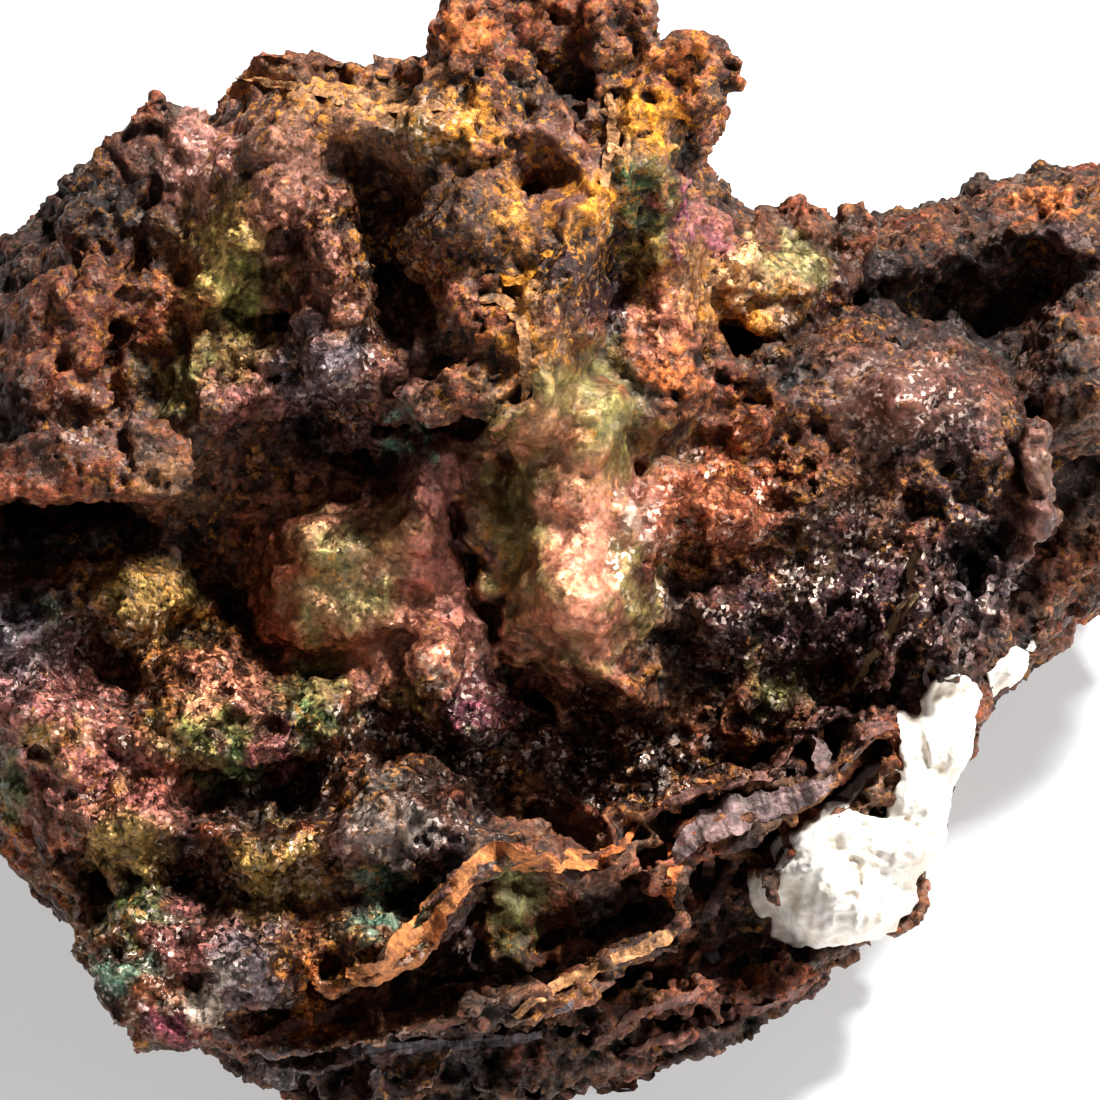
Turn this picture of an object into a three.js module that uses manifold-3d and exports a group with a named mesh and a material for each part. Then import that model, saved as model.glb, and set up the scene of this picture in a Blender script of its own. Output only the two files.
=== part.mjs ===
// Rough goethite: a hand-sized, craggy lump of iron ore with a lumpy front, a broken spire, a notch,
// a low arm running back to the right, and a lower right rim that breaks across thin curved layers.
// Two smears of white putty stick to that rim.
//
// The lump is shaped in its face frame: x runs across the front face, y runs up it and z comes out of it.
// The last step tips that frame back, so that the lump stands on its flat base at Z = 0.

import * as THREE from "three";
import { ImprovedNoise } from "three/addons/math/ImprovedNoise.js";
import { mergeVertices } from "three/addons/utils/BufferGeometryUtils.js";
import Module from "manifold-3d";

const wasm = await Module();
wasm.setup();

// Driving dimensions, in millimetres and degrees.
const FACE_LEAN = 50; // the front face leans back this far from lying flat
const FACE_CENTRE = [0.35, -22, 52]; // where the middle of the face stands above the base
const FACE_HEIGHT = -4; // the bare face, before its lumps
const BACK_DEPTH = -66; // the deepest point of the back
const SHOULDER = 0.62; // under 1 squares the section between face, sides and back
const FACE_CROWDING = 0.7; // how far the mesh is drawn to the detailed front
const MESH_DETAIL = 13; // divisions of each icosahedron edge
const SOFTENING = 0.35; // how far each point is drawn to its neighbours, which rounds saw-toothed steps
const ROUGHNESS = 1.1; // height of the small unevenness on the front
const BACK_CRAGS = 9; // height of the larger crags on the back
const BLOCK_TAPER = 0.3; // how much a block narrows towards its back
const BOULDER_DETAIL = 2; // divisions of each boulder's edges
const PUTTY_DETAIL = 2; // divisions of each putty dab's edges
const PUTTY_GAP = 0.35; // clearance between putty and rock

// The lump's girdle, seen from the front and taken anticlockwise: [across, up, out].
const GIRDLE = [
  [69, 12, -30],
  [70, 30, -36],
  [66, 44, -40],
  [58, 43.5, -40],
  [52, 41, -40],
  [42, 35, -37],
  [34.5, 32.5, -32],
  [25, 34, -28],
  [15.5, 35.5, -18],
  [14, 44, -10],
  [4, 50, -8],
  [-12, 49, -10],
  [-24, 48, -12],
  [-33.5, 47.5, -10],
  [-38, 40, -16],
  [-46, 34, -20],
  [-57, 32, -24],
  [-66, 22, -22],
  [-70, 6, -18],
  [-68, -12, -14],
  [-61, -26, -6],
  [-53, -32.5, 0],
  [-47, -40, 4],
  [-41.5, -48, 6],
  [-35, -48, 3],
  [-29, -57, -6],
  [-14, -63, -14],
  [3, -61, -18],
  [12, -53, -16],
  [22, -47.5, -12],
  [29, -44, -9],
  [37, -34, -8],
  [42.5, -22, -8],
  [48, -12, -14],
  [56, -7, -26],
  [64, -1, -30],
];

// Rounded lumps on the face: [across, up, top, half width, half height, depth].
const LUMPS = [
  // upper left crag, from its pale face to the knobs beside the spine
  [-30.5, 34, 8, 8.5, 14, 14],
  [-33, 45, 0, 5, 6, 10],
  [-25, 42, 6, 8, 6, 12],
  [-22, 29, 8, 7, 11, 12],
  [-13, 41, 8, 8, 6, 12],
  [-7, 41, 10, 6, 6, 12],
  [-9, 31, 12, 8, 9, 14],
  [-22, 19, 10, 7, 6.5, 12],
  [-15, 18, 7, 4.5, 6.5, 9],
  [-7, 22.5, 12, 5.5, 4.5, 7],
  // far left: a stack of blocks that ends in a ledge
  [-47, 25, 5, 7.5, 8, 12],
  [-50, 15, 6, 8, 8, 12],
  [-35, 22, 6, 7, 8, 10],
  [-33, 15.5, 7, 7.5, 6, 9],
  [-40, 9, 7, 6, 7, 10],
  [-44.5, 16, 4, 4, 9, 10],
  [-62, 18, -4, 9, 12, 12],
  [-63, -4, 0, 8, 14, 12],
  // the bubbly lower left field
  [-44, -5, 4, 8, 6, 9],
  [-54, -10, 5, 7, 7, 9],
  [-49, -19, 8, 7.5, 8, 9],
  [-33.5, -13.5, 7, 6.5, 4.5, 8],
  [-30, -19, 9, 6.5, 5, 8],
  [-37, -19, 8, 5.5, 6, 8],
  [-24, -17, 6, 5, 5, 7],
  [-41, -27.5, 11, 6, 5.5, 8],
  [-50, -29, 8, 6.5, 6, 8],
  [-15, -27.5, 14, 8.5, 6.5, 10],
  [-28, -30.5, 13, 8.5, 5, 9],
  [-39, -39, 13, 7, 6, 9],
  [-28.5, -41, 14, 8, 6, 10],
  [-19, -38.5, 14, 9, 4.5, 9],
  // the smooth middle plates, with the keyhole-shaped boss
  [2.5, -4, 8, 7.5, 8, 9],
  [4, 12, 6.5, 4.8, 6, 8],
  [1.5, 4.5, 5.5, 6, 7, 8],
  [-11.5, 3, 4.5, 5, 9, 6],
  [-21, -3.5, 4, 9, 8.5, 6],
  [-11, -10.5, 7, 4.5, 4, 7],
  [-8, -17, 4, 4, 3.5, 7],
  [5, -14, 3, 7, 3.5, 7],
  // right of the middle: a copper-coloured cluster and a broad brown lump
  [17, 4.5, 4, 6, 5, 8],
  [9, 2.5, 4.5, 4, 4.5, 7],
  [35, 15, -1, 11, 8, 18],
  [26, 4, -2, 7, 6, 12],
  [21, 15, -2, 6, 5, 12],
  [44, 8, -4, 6, 8, 16],
  [54.5, 17, -4, 6.5, 8, 24],
  [62, 14, -12, 7, 9, 22],
  [15, -7, -1, 8, 5, 9],
  [27, -7, -3, 7, 6, 10],
  [38, -7, -1, 4.5, 9, 12],
  [20, -17, -4, 8, 4.5, 10],
  // saddle and the arm behind it
  [11.5, 32, 2, 4.5, 9, 16],
  [17, 30, -8, 6, 6.5, 14],
  [12, 22, 1, 5, 5, 10],
  [26.5, 29.5, -13, 6.5, 5, 14],
  [32.5, 25.5, -14, 5, 4, 12],
  [44, 30, -27, 9, 7, 14],
  [57, 33, -24, 8, 8.5, 16],
  [64, 28, -26, 7, 9, 14],
  // the front of the foot, below the layers
  [-14, -53, 0, 16, 8, 12],
  [4, -52, -4, 12, 7, 12],
];

// Pits and hollows: [across, up, depth, half width, half height].
const PITS = [
  [17.5, 22.5, 15, 5, 4.5],
  [-36.2, 30, 9, 2.4, 12],
  [-16.5, 33, 7, 3.4, 8],
  [-14, 25, 9, 3.6, 6],
  [-9, 16.5, 9, 8, 3],
  [-46, 2.5, 11, 16, 3.4],
  [-26, 27, 3, 3, 6],
  [-31.5, 2, 7, 4, 5],
  [-30, -5, 6, 3.4, 5],
  [-25, -10.5, 5, 7, 2.6],
  [-45, -12.5, 4, 4, 3],
  [-43, -33, 5, 3.6, 3],
  [-24, -25, 6, 9, 2.6],
  [-21, -4, 2.2, 5, 5],
  [4, -20, 7, 13, 3.6],
  [22, -22, 5, 9, 3.2],
  [31, -13, 5, 6, 5],
  [22, 8, 5, 4.5, 3],
  [29.5, 10, 5, 3.4, 5],
  [45, 24, 12, 15, 4.5],
  [5, 46, 8, 2.8, 4],
  [1, 38, 3, 2.6, 3],
  [-6.5, -38, 8, 3.4, 5.5],
  [5, -38, 6, 7, 2.4],
  [-8, -46, 6, 20, 2.2],
  [14, -42, 5, 9, 2.4],
  [35, -27, 5, 5, 2.6],
];

// Narrow clefts: depth, half width, and the points they run through, [across, up].
const CLEFTS = [
  { depth: 7, half: 1.8, run: [[-9.5, 5], [-7.6, -3], [-6, -10], [-2, -15], [6, -17.5]] },
  { depth: 4, half: 1.6, run: [[-39, 24], [-40, 16], [-38, 8]] },
  { depth: 5, half: 1.8, run: [[-27.8, 24], [-28.5, 12], [-24, 10.5]] },
  { depth: 4, half: 1.5, run: [[10, 18], [18, 13], [27, 10]] },
  { depth: 5, half: 1.8, run: [[-52, -35], [-44, -34], [-33, -35.5], [-24, -35]] },
];

// The spine: a rib that stands out of the upper face: [across, up, top].
const SPINE = [
  [1, 45, 8],
  [4, 38, 11],
  [2, 32, 12],
  [1, 26, 14],
  [-1.5, 20, 13],
  [-2.5, 13.5, 10],
];
const SPINE_HALF_WIDTH = 4.6;

// Angular blocks that stand clear of the face: the outline seen from the front, and how far it reaches
// back and out. Those at the top sink as they run back, by their dip for each millimetre.
const BLOCKS = {
  spire: {
    back: -20,
    front: 6,
    dip: 0.2,
    outline: [
      [-14, 44], [-12.5, 50], [-11, 55], [-9.4, 59], [-5, 62], [-1, 61.4], [-0.4, 56],
      [-1.4, 50], [0, 44], [-6, 40],
    ],
  },
  spire_core: {
    back: -16,
    front: 0,
    dip: 0.2,
    outline: [[-4, 44], [-3, 58], [2, 59], [6, 57.4], [7, 44]],
  },
  spire_side: {
    back: -14,
    front: 5,
    dip: 0.2,
    outline: [
      [3, 42], [3.6, 50], [3, 55.5], [4.6, 59.4], [8, 58.6], [10.4, 54.6], [8.6, 50.5],
      [9.5, 46], [7, 41],
    ],
  },
  horn: {
    back: -14,
    front: 4,
    dip: 0.2,
    outline: [
      [8, 40], [8.2, 50], [12.2, 51.8], [14.5, 51], [18.8, 51.4], [19.4, 48], [17.6, 44.5],
      [15.6, 41], [13.6, 39.5], [12, 35],
    ],
  },
  back_slab: {
    back: -28,
    front: -7,
    dip: 0.2,
    outline: [
      [-33, 46.5], [-31, 50.3], [-27, 50.8], [-21, 50.4], [-15, 50], [-11, 50.6], [-10, 44],
      [-22, 42],
    ],
  },
  left_slab: {
    back: -30,
    front: -3,
    dip: 0.2,
    outline: [
      [-47.5, 35], [-45, 39.5], [-42.6, 44], [-40, 46], [-38.6, 44.2], [-35.5, 44.8],
      [-33.5, 42], [-34, 28], [-44, 24], [-49, 30],
    ],
  },
  left_ledge: {
    back: -14,
    front: 10,
    outline: [
      [-68, 9], [-60, 10], [-50, 11.5], [-42, 13], [-36, 10.5], [-37.5, 5.6], [-46, 5],
      [-57, 4.6], [-68, 4],
    ],
  },
  brow: {
    back: -8,
    front: 11,
    outline: [[-15, 15.5], [-10, 17.5], [-3, 18.5], [1, 17], [-2, 13.6], [-6, 12.4], [-12, 13.2]],
  },
  saddle_knob: {
    back: -34,
    front: -20,
    dip: 0.2,
    outline: [
      [21.6, 30], [22.2, 36], [24, 36.8], [27.6, 36.4], [29, 34.5], [33, 35.4], [34.6, 32.6],
      [33, 28],
    ],
  },
  hanging_block: {
    back: -20,
    front: -7,
    outline: [[33.4, -32], [36, -31], [39, -33.4], [38.6, -36.4], [35.8, -38.6], [32.6, -37]],
  },
  lower_corner: {
    back: -8,
    front: 10,
    outline: [
      [-45, -41], [-43, -46.5], [-41.6, -50], [-38, -49], [-35, -49.4], [-32, -46], [-38, -40],
    ],
  },
};

// Layer edges on the broken rim: how thick each layer is, how deep it runs back, and its crest, as
// [across, up, top].
const LAYERS = {
  ochre_ridge: {
    thick: 2.6,
    deep: 14,
    crest: [
      [-24, -42, 12], [-18, -42.2, 14.5], [-13, -39.5, 16], [-9.5, -34.5, 16], [-6.6, -30, 15],
      [-3, -29, 13.5], [1, -31.2, 11.5], [6, -31, 9], [8.6, -29.4, 7.5],
    ],
  },
  upper_edge: {
    thick: 1.3,
    deep: 12,
    crest: [
      [7.6, -30.4, 7], [9.6, -26.6, 6], [14, -24.2, 5], [20, -23, 4], [25, -21, 3], [28, -17, 2],
      [33, -17, 1],
    ],
  },
  mauve_plate: {
    thick: 2.7,
    deep: 12,
    crest: [
      [11.6, -33.5, 4.5], [13, -29, 4.5], [18, -27.2, 4], [24, -25.4, 3], [28.6, -22.6, 2.5],
      [31.4, -18.6, 2], [35, -17.6, 0.5],
    ],
  },
  rim_plate: {
    thick: 1.8,
    deep: 14,
    crest: [
      [20.5, -33.4, 1], [25, -31, 0.6], [30, -27.4, -0.5], [34.6, -22.4, -2], [38, -17.5, -3],
    ],
  },
  orange_edge: {
    thick: 1.5,
    deep: 12,
    crest: [
      [-8, -45.4, 10], [0, -43.6, 8.4], [6, -40.6, 7], [10.5, -38.2, 5.6], [12.6, -36, 4.6],
      [11.6, -33, 4],
    ],
  },
  foot_upper: {
    thick: 1.6,
    deep: 14,
    crest: [
      [-32, -49, 5], [-22, -48, 6], [-12, -46.8, 6], [-2, -46.4, 3], [8, -45, 0.5],
      [18, -44.4, -2.5], [26, -43.4, -5],
    ],
  },
  foot_middle: {
    thick: 1.7,
    deep: 14,
    crest: [
      [-29, -52.4, 1.6], [-18, -51.4, 3], [-6, -50.4, 2], [6, -49.6, -1], [16, -48, -5],
      [23, -46, -7],
    ],
  },
  foot_lower: {
    thick: 1.8,
    deep: 14,
    crest: [[-26, -56.4, -2], [-14, -56, -1], [-2, -55, -2.6], [8, -53, -6], [15, -50.6, -9]],
  },
  side_edge: {
    thick: 1.5,
    deep: 12,
    crest: [[38, 0.6, 1], [36.6, -4, 1.6], [35.4, -7, 2], [33, -10.6, 1.4], [31.4, -15, 1]],
  },
  side_plate: {
    thick: 2.2,
    deep: 18,
    crest: [
      [49, 13, -3], [49.4, 7, -3], [48, 2, -4], [46.6, -2, -5], [44.6, -6, -6], [42.8, -11, -7],
    ],
  },
  side_thin: {
    thick: 1.2,
    deep: 12,
    crest: [[41, -3, -1], [39.4, -8, -1.4], [40.2, -13, -3]],
  },
};

// Rounded masses behind the face: [across, up, out, half width, half height, half depth].
const BOULDERS = [
  [-2, 48, -22, 12, 10, 16],
  [8, 43, -18, 7, 7, 10],
  [-24, 42, -32, 15, 9, 16],
  [-42, 35, -32, 9, 9, 16],
  [-30, 2, -62, 20, 17, 10],
  [12, 16, -60, 18, 13, 9],
  [30, -14, -54, 15, 13, 12],
  [54, 10, -56, 11, 12, 9],
];

// Putty: rounded dabs that run together: [across, up, out, half width, half height, half depth].
const PUTTY_SMEAR = [
  [29.5, -34.5, -4.5, 7.4, 5.6, 7],
  [34, -30, -5, 5.4, 4.4, 7],
  [37, -25.5, -6, 4.4, 5, 7],
  [39.4, -20, -7, 3.8, 5, 7],
];
const PUTTY_DAB = [[47, -12.2, -12.6, 2.8, 2.4, 5]];

const noise = new ImprovedNoise();

// Layered noise, about -1 to 1, whose largest bumps are one scale across.
function roughAt(x, y, z, scale) {
  let sum = 0;
  for (let octave = 1; octave <= 3; octave++) {
    const f = 2 ** octave / 2 / scale;
    sum += noise.noise(x * f + 31.7 * octave, y * f - 11.3, z * f + 5.9) / octave;
  }
  return sum;
}

// Layered noise with sharp crests, about -0.5 to 1.
function cragAt(x, y, z, scale) {
  let sum = 0;
  for (let octave = 1; octave <= 3; octave++) {
    const f = 2 ** octave / 2 / scale;
    sum += (0.5 - 2 * Math.abs(noise.noise(x * f - 7.7 * octave, y * f + 3.1, z * f + 19.3))) / octave;
  }
  return sum;
}

// Turns a closed geometry into a solid, once its shared vertices are merged.
function solidOf(geometry) {
  const bare = geometry.clone();
  bare.deleteAttribute("normal");
  bare.deleteAttribute("uv");
  const merged = mergeVertices(bare, 1e-4);
  return new wasm.Manifold(
    new wasm.Mesh({
      numProp: 3,
      vertProperties: merged.attributes.position.array,
      triVerts: new Uint32Array(merged.index.array),
    }),
  );
}

// Moves every vertex of a geometry, by its position.
function reshape(geometry, move) {
  const position = geometry.attributes.position;
  const point = new THREE.Vector3();
  for (let i = 0; i < position.count; i++) {
    move(point.fromBufferAttribute(position, i));
    position.setXYZ(i, point.x, point.y, point.z);
  }
  return geometry;
}

// The girdle point in the direction of an angle, on straight runs between its corners.
const corners = GIRDLE.map(([x, y, z]) => ({ angle: Math.atan2(y, x), reach: Math.hypot(x, y), z })).sort(
  (a, b) => a.angle - b.angle,
);
function girdleAt(angle) {
  const after = Math.max(0, corners.findIndex((corner) => corner.angle > angle));
  const a = corners.at(after - 1);
  const b = corners[after];
  const turn = (to) => (to - a.angle + 4 * Math.PI) % (2 * Math.PI);
  const t = turn(angle) / turn(b.angle);
  return { reach: a.reach + (b.reach - a.reach) * t, z: a.z + (b.z - a.z) * t };
}

// Distance from a point to a run of straight pieces, and the value carried along the run there.
function nearestOn(run, x, y) {
  let best = { distance: Infinity, carried: 0 };
  for (let i = 0; i + 1 < run.length; i++) {
    const [ax, ay, aValue = 0] = run[i];
    const [bx, by, bValue = 0] = run[i + 1];
    const length2 = (bx - ax) ** 2 + (by - ay) ** 2;
    const t = THREE.MathUtils.clamp(((x - ax) * (bx - ax) + (y - ay) * (by - ay)) / length2, 0, 1);
    const distance = Math.hypot(x - ax - t * (bx - ax), y - ay - t * (by - ay));
    if (distance < best.distance) best = { distance, carried: aValue + t * (bValue - aValue) };
  }
  return best;
}

// Height of the front over its bare face: lumps and spine raise it, pits and clefts sink it.
function relief(x, y, bare) {
  let height = bare;
  for (const [across, up, top, halfWidth, halfHeight, depth] of LUMPS) {
    const inside = 1 - ((x - across) / halfWidth) ** 2 - ((y - up) / halfHeight) ** 2;
    if (inside > 0) height = Math.max(height, top - depth + depth * Math.sqrt(inside));
  }
  const spine = nearestOn(SPINE, x, y);
  if (spine.distance < SPINE_HALF_WIDTH)
    height = Math.max(height, spine.carried - 0.35 * spine.distance ** 2);
  for (const [across, up, depth, halfWidth, halfHeight] of PITS) {
    const inside = 1 - ((x - across) / halfWidth) ** 2 - ((y - up) / halfHeight) ** 2;
    if (inside > 0) height -= depth * inside;
  }
  for (const { depth, half, run } of CLEFTS) {
    const { distance } = nearestOn(run, x, y);
    if (distance < 2 * half) height -= depth * (1 - distance / (2 * half));
  }
  return height;
}

// Draws each vertex of an indexed geometry part of the way to the middle of its neighbours.
function relax(geometry, amount) {
  const position = geometry.attributes.position;
  const index = geometry.index.array;
  const sums = Array.from({ length: position.count }, () => ({ total: new THREE.Vector3(), count: 0 }));
  const points = sums.map((_, i) => new THREE.Vector3().fromBufferAttribute(position, i));
  for (let i = 0; i < index.length; i++) {
    const next = i % 3 === 2 ? i - 2 : i + 1;
    sums[index[i]].total.add(points[index[next]]);
    sums[index[i]].count++;
  }
  points.forEach((point, i) => {
    point.lerp(sums[i].total.divideScalar(sums[i].count), amount);
    position.setXYZ(i, point.x, point.y, point.z);
  });
}

// The lump itself: a sphere drawn out to the girdle, with its front in relief and its back rough.
function lump() {
  const sphere = new THREE.IcosahedronGeometry(1, MESH_DETAIL);
  sphere.deleteAttribute("normal");
  sphere.deleteAttribute("uv");
  const geometry = mergeVertices(sphere, 1e-4);
  reshape(geometry, (p) => {
    p.z += FACE_CROWDING;
    p.normalize();
    const angle = Math.atan2(p.y, p.x);
    const polar = Math.acos(p.z);
    const girdle = girdleAt(angle);
    const front = p.z > 0;
    const side = front ? polar / (Math.PI / 2) : Math.sin(polar) ** SHOULDER;
    const x = Math.cos(angle) * girdle.reach * side;
    const y = Math.sin(angle) * girdle.reach * side;
    if (front) {
      const bare = girdle.z * side + FACE_HEIGHT * Math.sqrt(1 - side ** 2);
      const inward = THREE.MathUtils.smoothstep(1 - side, 0, 0.1);
      p.set(x, y, THREE.MathUtils.lerp(bare, relief(x, y, bare), inward));
    } else p.set(x, y, girdle.z * side + BACK_DEPTH * (-p.z) ** SHOULDER);
  });
  relax(geometry, SOFTENING);
  reshape(geometry, (p) => {
    const out = p.clone().normalize();
    const behind = THREE.MathUtils.smoothstep(-p.z, 16, 40);
    const rough = ROUGHNESS * roughAt(p.x, p.y, p.z, 9) + behind * BACK_CRAGS * cragAt(p.x, p.y, p.z, 30);
    p.addScaledVector(out, rough);
  });
  return solidOf(geometry);
}

// A broken block: its outline swept from front to back, narrowing as it goes and sinking by its dip.
function block({ outline, back, front, dip = 0 }) {
  const middle = outline.reduce((sum, [x, y]) => sum.add(new THREE.Vector2(x, y)), new THREE.Vector2());
  middle.divideScalar(outline.length);
  const shape = new THREE.Shape(outline.map(([x, y]) => new THREE.Vector2(x, y)));
  const geometry = new THREE.ExtrudeGeometry(shape, { depth: front - back, steps: 2, bevelEnabled: false });
  geometry.translate(0, 0, back);
  return solidOf(
    reshape(geometry, (p) => {
      const behind = front - p.z;
      const width = 1 - (BLOCK_TAPER * behind) / (front - back);
      const wobble = roughAt(p.x, p.y, p.z, 7);
      p.set(
        middle.x + (p.x - middle.x) * width + 1.1 * wobble,
        middle.y + (p.y - middle.y) * width - dip * behind + 1.1 * roughAt(p.y, p.z, p.x, 7),
        p.z + 2.2 * wobble + dip * 2.5 * (behind / (front - back)) * (middle.y - p.y),
      );
    }),
  );
}

// A curved layer that stands on edge: a thin band along its crest, from the crest down into the lump.
function layer({ thick, deep, crest }) {
  const middle = new THREE.CatmullRomCurve3(crest.map((point) => new THREE.Vector3(...point)));
  const count = Math.round(crest.length * 1.5);
  const spots = middle.getPoints(count);
  const edge = (side) =>
    spots.map((spot, i) => {
      const tangent = middle.getTangent(i / count);
      const across = new THREE.Vector2(-tangent.y, tangent.x).normalize();
      const half = (thick / 2) * (1 + 0.35 * roughAt(spot.x, spot.y, side, 5)) * side;
      return new THREE.Vector2(spot.x + across.x * half, spot.y + across.y * half);
    });
  const shape = new THREE.Shape([...edge(-1), ...edge(1).reverse()]);
  const geometry = new THREE.ExtrudeGeometry(shape, { depth: deep, steps: 1, bevelEnabled: false });
  return solidOf(
    reshape(geometry, (p) => {
      const { carried } = nearestOn(crest, p.x, p.y);
      p.z += carried - deep;
      if (p.z > carried - 1) p.z += 1.6 * roughAt(p.x, p.y, 0, 4);
      p.y += 0.9 * roughAt(p.x, 0, p.z, 6);
    }),
  );
}

// Joins a list of solids into one.
const join = (solids) => solids.reduce((whole, solid) => whole.add(solid));

// The space under the base, in the face frame.
const toRow = new THREE.Matrix4()
  .makeRotationX(THREE.MathUtils.degToRad(FACE_LEAN))
  .setPosition(new THREE.Vector3(...FACE_CENTRE));
function belowBase() {
  const size = 400;
  const geometry = new THREE.BoxGeometry(size, size, size);
  geometry.translate(0, 0, -size / 2);
  return solidOf(geometry.applyMatrix4(toRow.clone().invert()));
}

const largest = (solid) => solid.decompose().reduce((a, b) => (b.volume() > a.volume() ? b : a));

// Rounded bodies run together, each one lumpy and grown by a clearance.
function masses(table, { detail, lumpiness, clearance = 0 }) {
  return join(
    table.map(([across, up, out, halfWidth, halfHeight, halfDepth]) =>
      solidOf(
        reshape(new THREE.IcosahedronGeometry(1, detail), (p) => {
          const swell = 1 + lumpiness * roughAt(p.x * 9 + across, p.y * 9 + up, p.z * 9, 9);
          p.set(
            across + p.x * (halfWidth * swell + clearance),
            up + p.y * (halfHeight * swell + clearance),
            out + p.z * (halfDepth * swell + clearance),
          );
        }),
      ),
    ),
  );
}
const putty = (dabs, clearance) => masses(dabs, { detail: PUTTY_DETAIL, lumpiness: 0.24, clearance });

// The rock, with a bed for the putty.
const rock = largest(
  join([
    lump(),
    masses(BOULDERS, { detail: BOULDER_DETAIL, lumpiness: 0.3 }),
    ...Object.values(BLOCKS).map(block),
    ...Object.values(LAYERS).map(layer),
  ])
    .subtract(putty(PUTTY_SMEAR, PUTTY_GAP))
    .subtract(putty(PUTTY_DAB, PUTTY_GAP))
    .subtract(belowBase()),
);

// Gives a finished solid back as a mesh in the face frame.
function meshOf(name, solid, material) {
  const { vertProperties, triVerts, numProp } = solid.getMesh();
  const positions = new Float32Array(vertProperties.length / numProp * 3);
  for (let i = 0; i < positions.length / 3; i++)
    positions.set(vertProperties.subarray(i * numProp, i * numProp + 3), i * 3);
  const geometry = new THREE.BufferGeometry();
  geometry.setAttribute("position", new THREE.BufferAttribute(positions, 3));
  geometry.setIndex(new THREE.BufferAttribute(triVerts, 1));
  geometry.computeVertexNormals();
  const mesh = new THREE.Mesh(geometry, material);
  mesh.name = name;
  return mesh;
}

const goethite = new THREE.MeshStandardMaterial({ color: 0x4a2e22, roughness: 0.6, metalness: 0.25 });
const whitePutty = new THREE.MeshStandardMaterial({ color: 0xf3eee4, roughness: 0.55, metalness: 0 });

const specimen = new THREE.Group();
specimen.name = "rough_goethite";
specimen.applyMatrix4(toRow);
specimen.add(
  meshOf("goethite", rock, goethite),
  meshOf("putty_smear", putty(PUTTY_SMEAR, 0), whitePutty),
  meshOf("putty_dab", putty(PUTTY_DAB, 0), whitePutty),
);

export default specimen;
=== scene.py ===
# A hand-sized lump of goethite iron ore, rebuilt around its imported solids: first the view, then the rock
# itself, its thin layer edges and its smears of white putty, and last the table and the lamps.
# The lump has a lumpy front face that leans back. Places on it are given in millimetres across the face,
# up the face and out of it, measured from the middle of the face.

import math

import bmesh
import bpy
import numpy as np
from mathutils import Matrix, Vector, interpolate, noise
from mathutils.bvhtree import BVHTree


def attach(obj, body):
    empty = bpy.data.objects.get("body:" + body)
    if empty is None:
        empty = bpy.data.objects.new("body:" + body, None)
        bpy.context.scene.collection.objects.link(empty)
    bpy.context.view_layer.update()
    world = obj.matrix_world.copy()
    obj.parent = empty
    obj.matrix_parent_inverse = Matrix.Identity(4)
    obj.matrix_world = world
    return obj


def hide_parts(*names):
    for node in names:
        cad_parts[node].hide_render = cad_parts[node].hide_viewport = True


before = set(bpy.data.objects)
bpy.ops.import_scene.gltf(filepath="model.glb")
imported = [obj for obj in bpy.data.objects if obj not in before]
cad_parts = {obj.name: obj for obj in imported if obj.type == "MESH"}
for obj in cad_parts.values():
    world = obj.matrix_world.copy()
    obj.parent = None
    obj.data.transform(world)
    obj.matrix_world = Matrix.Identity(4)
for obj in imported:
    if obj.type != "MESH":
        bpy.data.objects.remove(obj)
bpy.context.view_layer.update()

# ---- The view ----
# The lump is looked at square on to its leaning face, from half a metre, through a long lens that takes in
# a little less than the whole lump.

MM = 0.001
FACE_LEAN = math.radians(50)
FACE_CENTRE = Vector((0.35, -22, 52))
VIEW_DISTANCE = 500
VIEW_WIDTH = 110
SENSOR_WIDTH = 36

face_to_row = Matrix.Translation(FACE_CENTRE) @ Matrix.Rotation(FACE_LEAN, 4, "X")

camera_data = bpy.data.cameras.new("camera")
camera_data.sensor_width = SENSOR_WIDTH
camera_data.lens = SENSOR_WIDTH * VIEW_DISTANCE / VIEW_WIDTH
camera_data.clip_start = 0.01
camera_data.clip_end = 20
camera = bpy.data.objects.new("camera", camera_data)
bpy.context.scene.collection.objects.link(camera)
camera.location = (face_to_row @ Vector((0, 0, VIEW_DISTANCE))) * MM
camera.rotation_euler = (FACE_LEAN, 0, 0)
bpy.context.scene.camera = camera

# ---- The rock ----
# Goethite, a brown iron ore that grew as bubbly crusts: lumps with a thin rainbow tarnish, rough ochre
# crags and dark glassy hollows, their darkness painted shade in part. It is one natural piece, broken out of a
# vein and never trimmed.

# Width of the skin's faces, in millimetres, while it is roughed out and for the fine work, and how many
# triangles are kept of it.
CARVING_VOXEL = 0.5
SKIN_VOXEL = 0.42
ROCK_TRIANGLES = 740000
NOISE_SEED = 3
# A closed bit with fewer corners than this is a speck that hangs free.
SPECK_CORNERS = 100

noise.seed_set(NOISE_SEED)


def read_points(mesh, kind="vertices", field="co"):
    values = np.empty(len(getattr(mesh, kind)) * 3)
    getattr(mesh, kind).foreach_get(field, values)
    return values.reshape(-1, 3)


def write_points(mesh, points):
    mesh.vertices.foreach_set("co", np.asarray(points, np.float32).ravel())
    mesh.update()


def to_face(points):
    """Row metres to face millimetres."""
    inverse = np.array(face_to_row.inverted())
    return (points / MM) @ inverse[:3, :3].T + inverse[:3, 3]


def to_row(points):
    """Face millimetres to row metres."""
    matrix = np.array(face_to_row)
    return (points @ matrix[:3, :3].T + matrix[:3, 3]) * MM


def edges_of(mesh):
    edges = np.empty(len(mesh.edges) * 2, np.int64)
    mesh.edges.foreach_get("vertices", edges)
    return edges.reshape(-1, 2)


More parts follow.
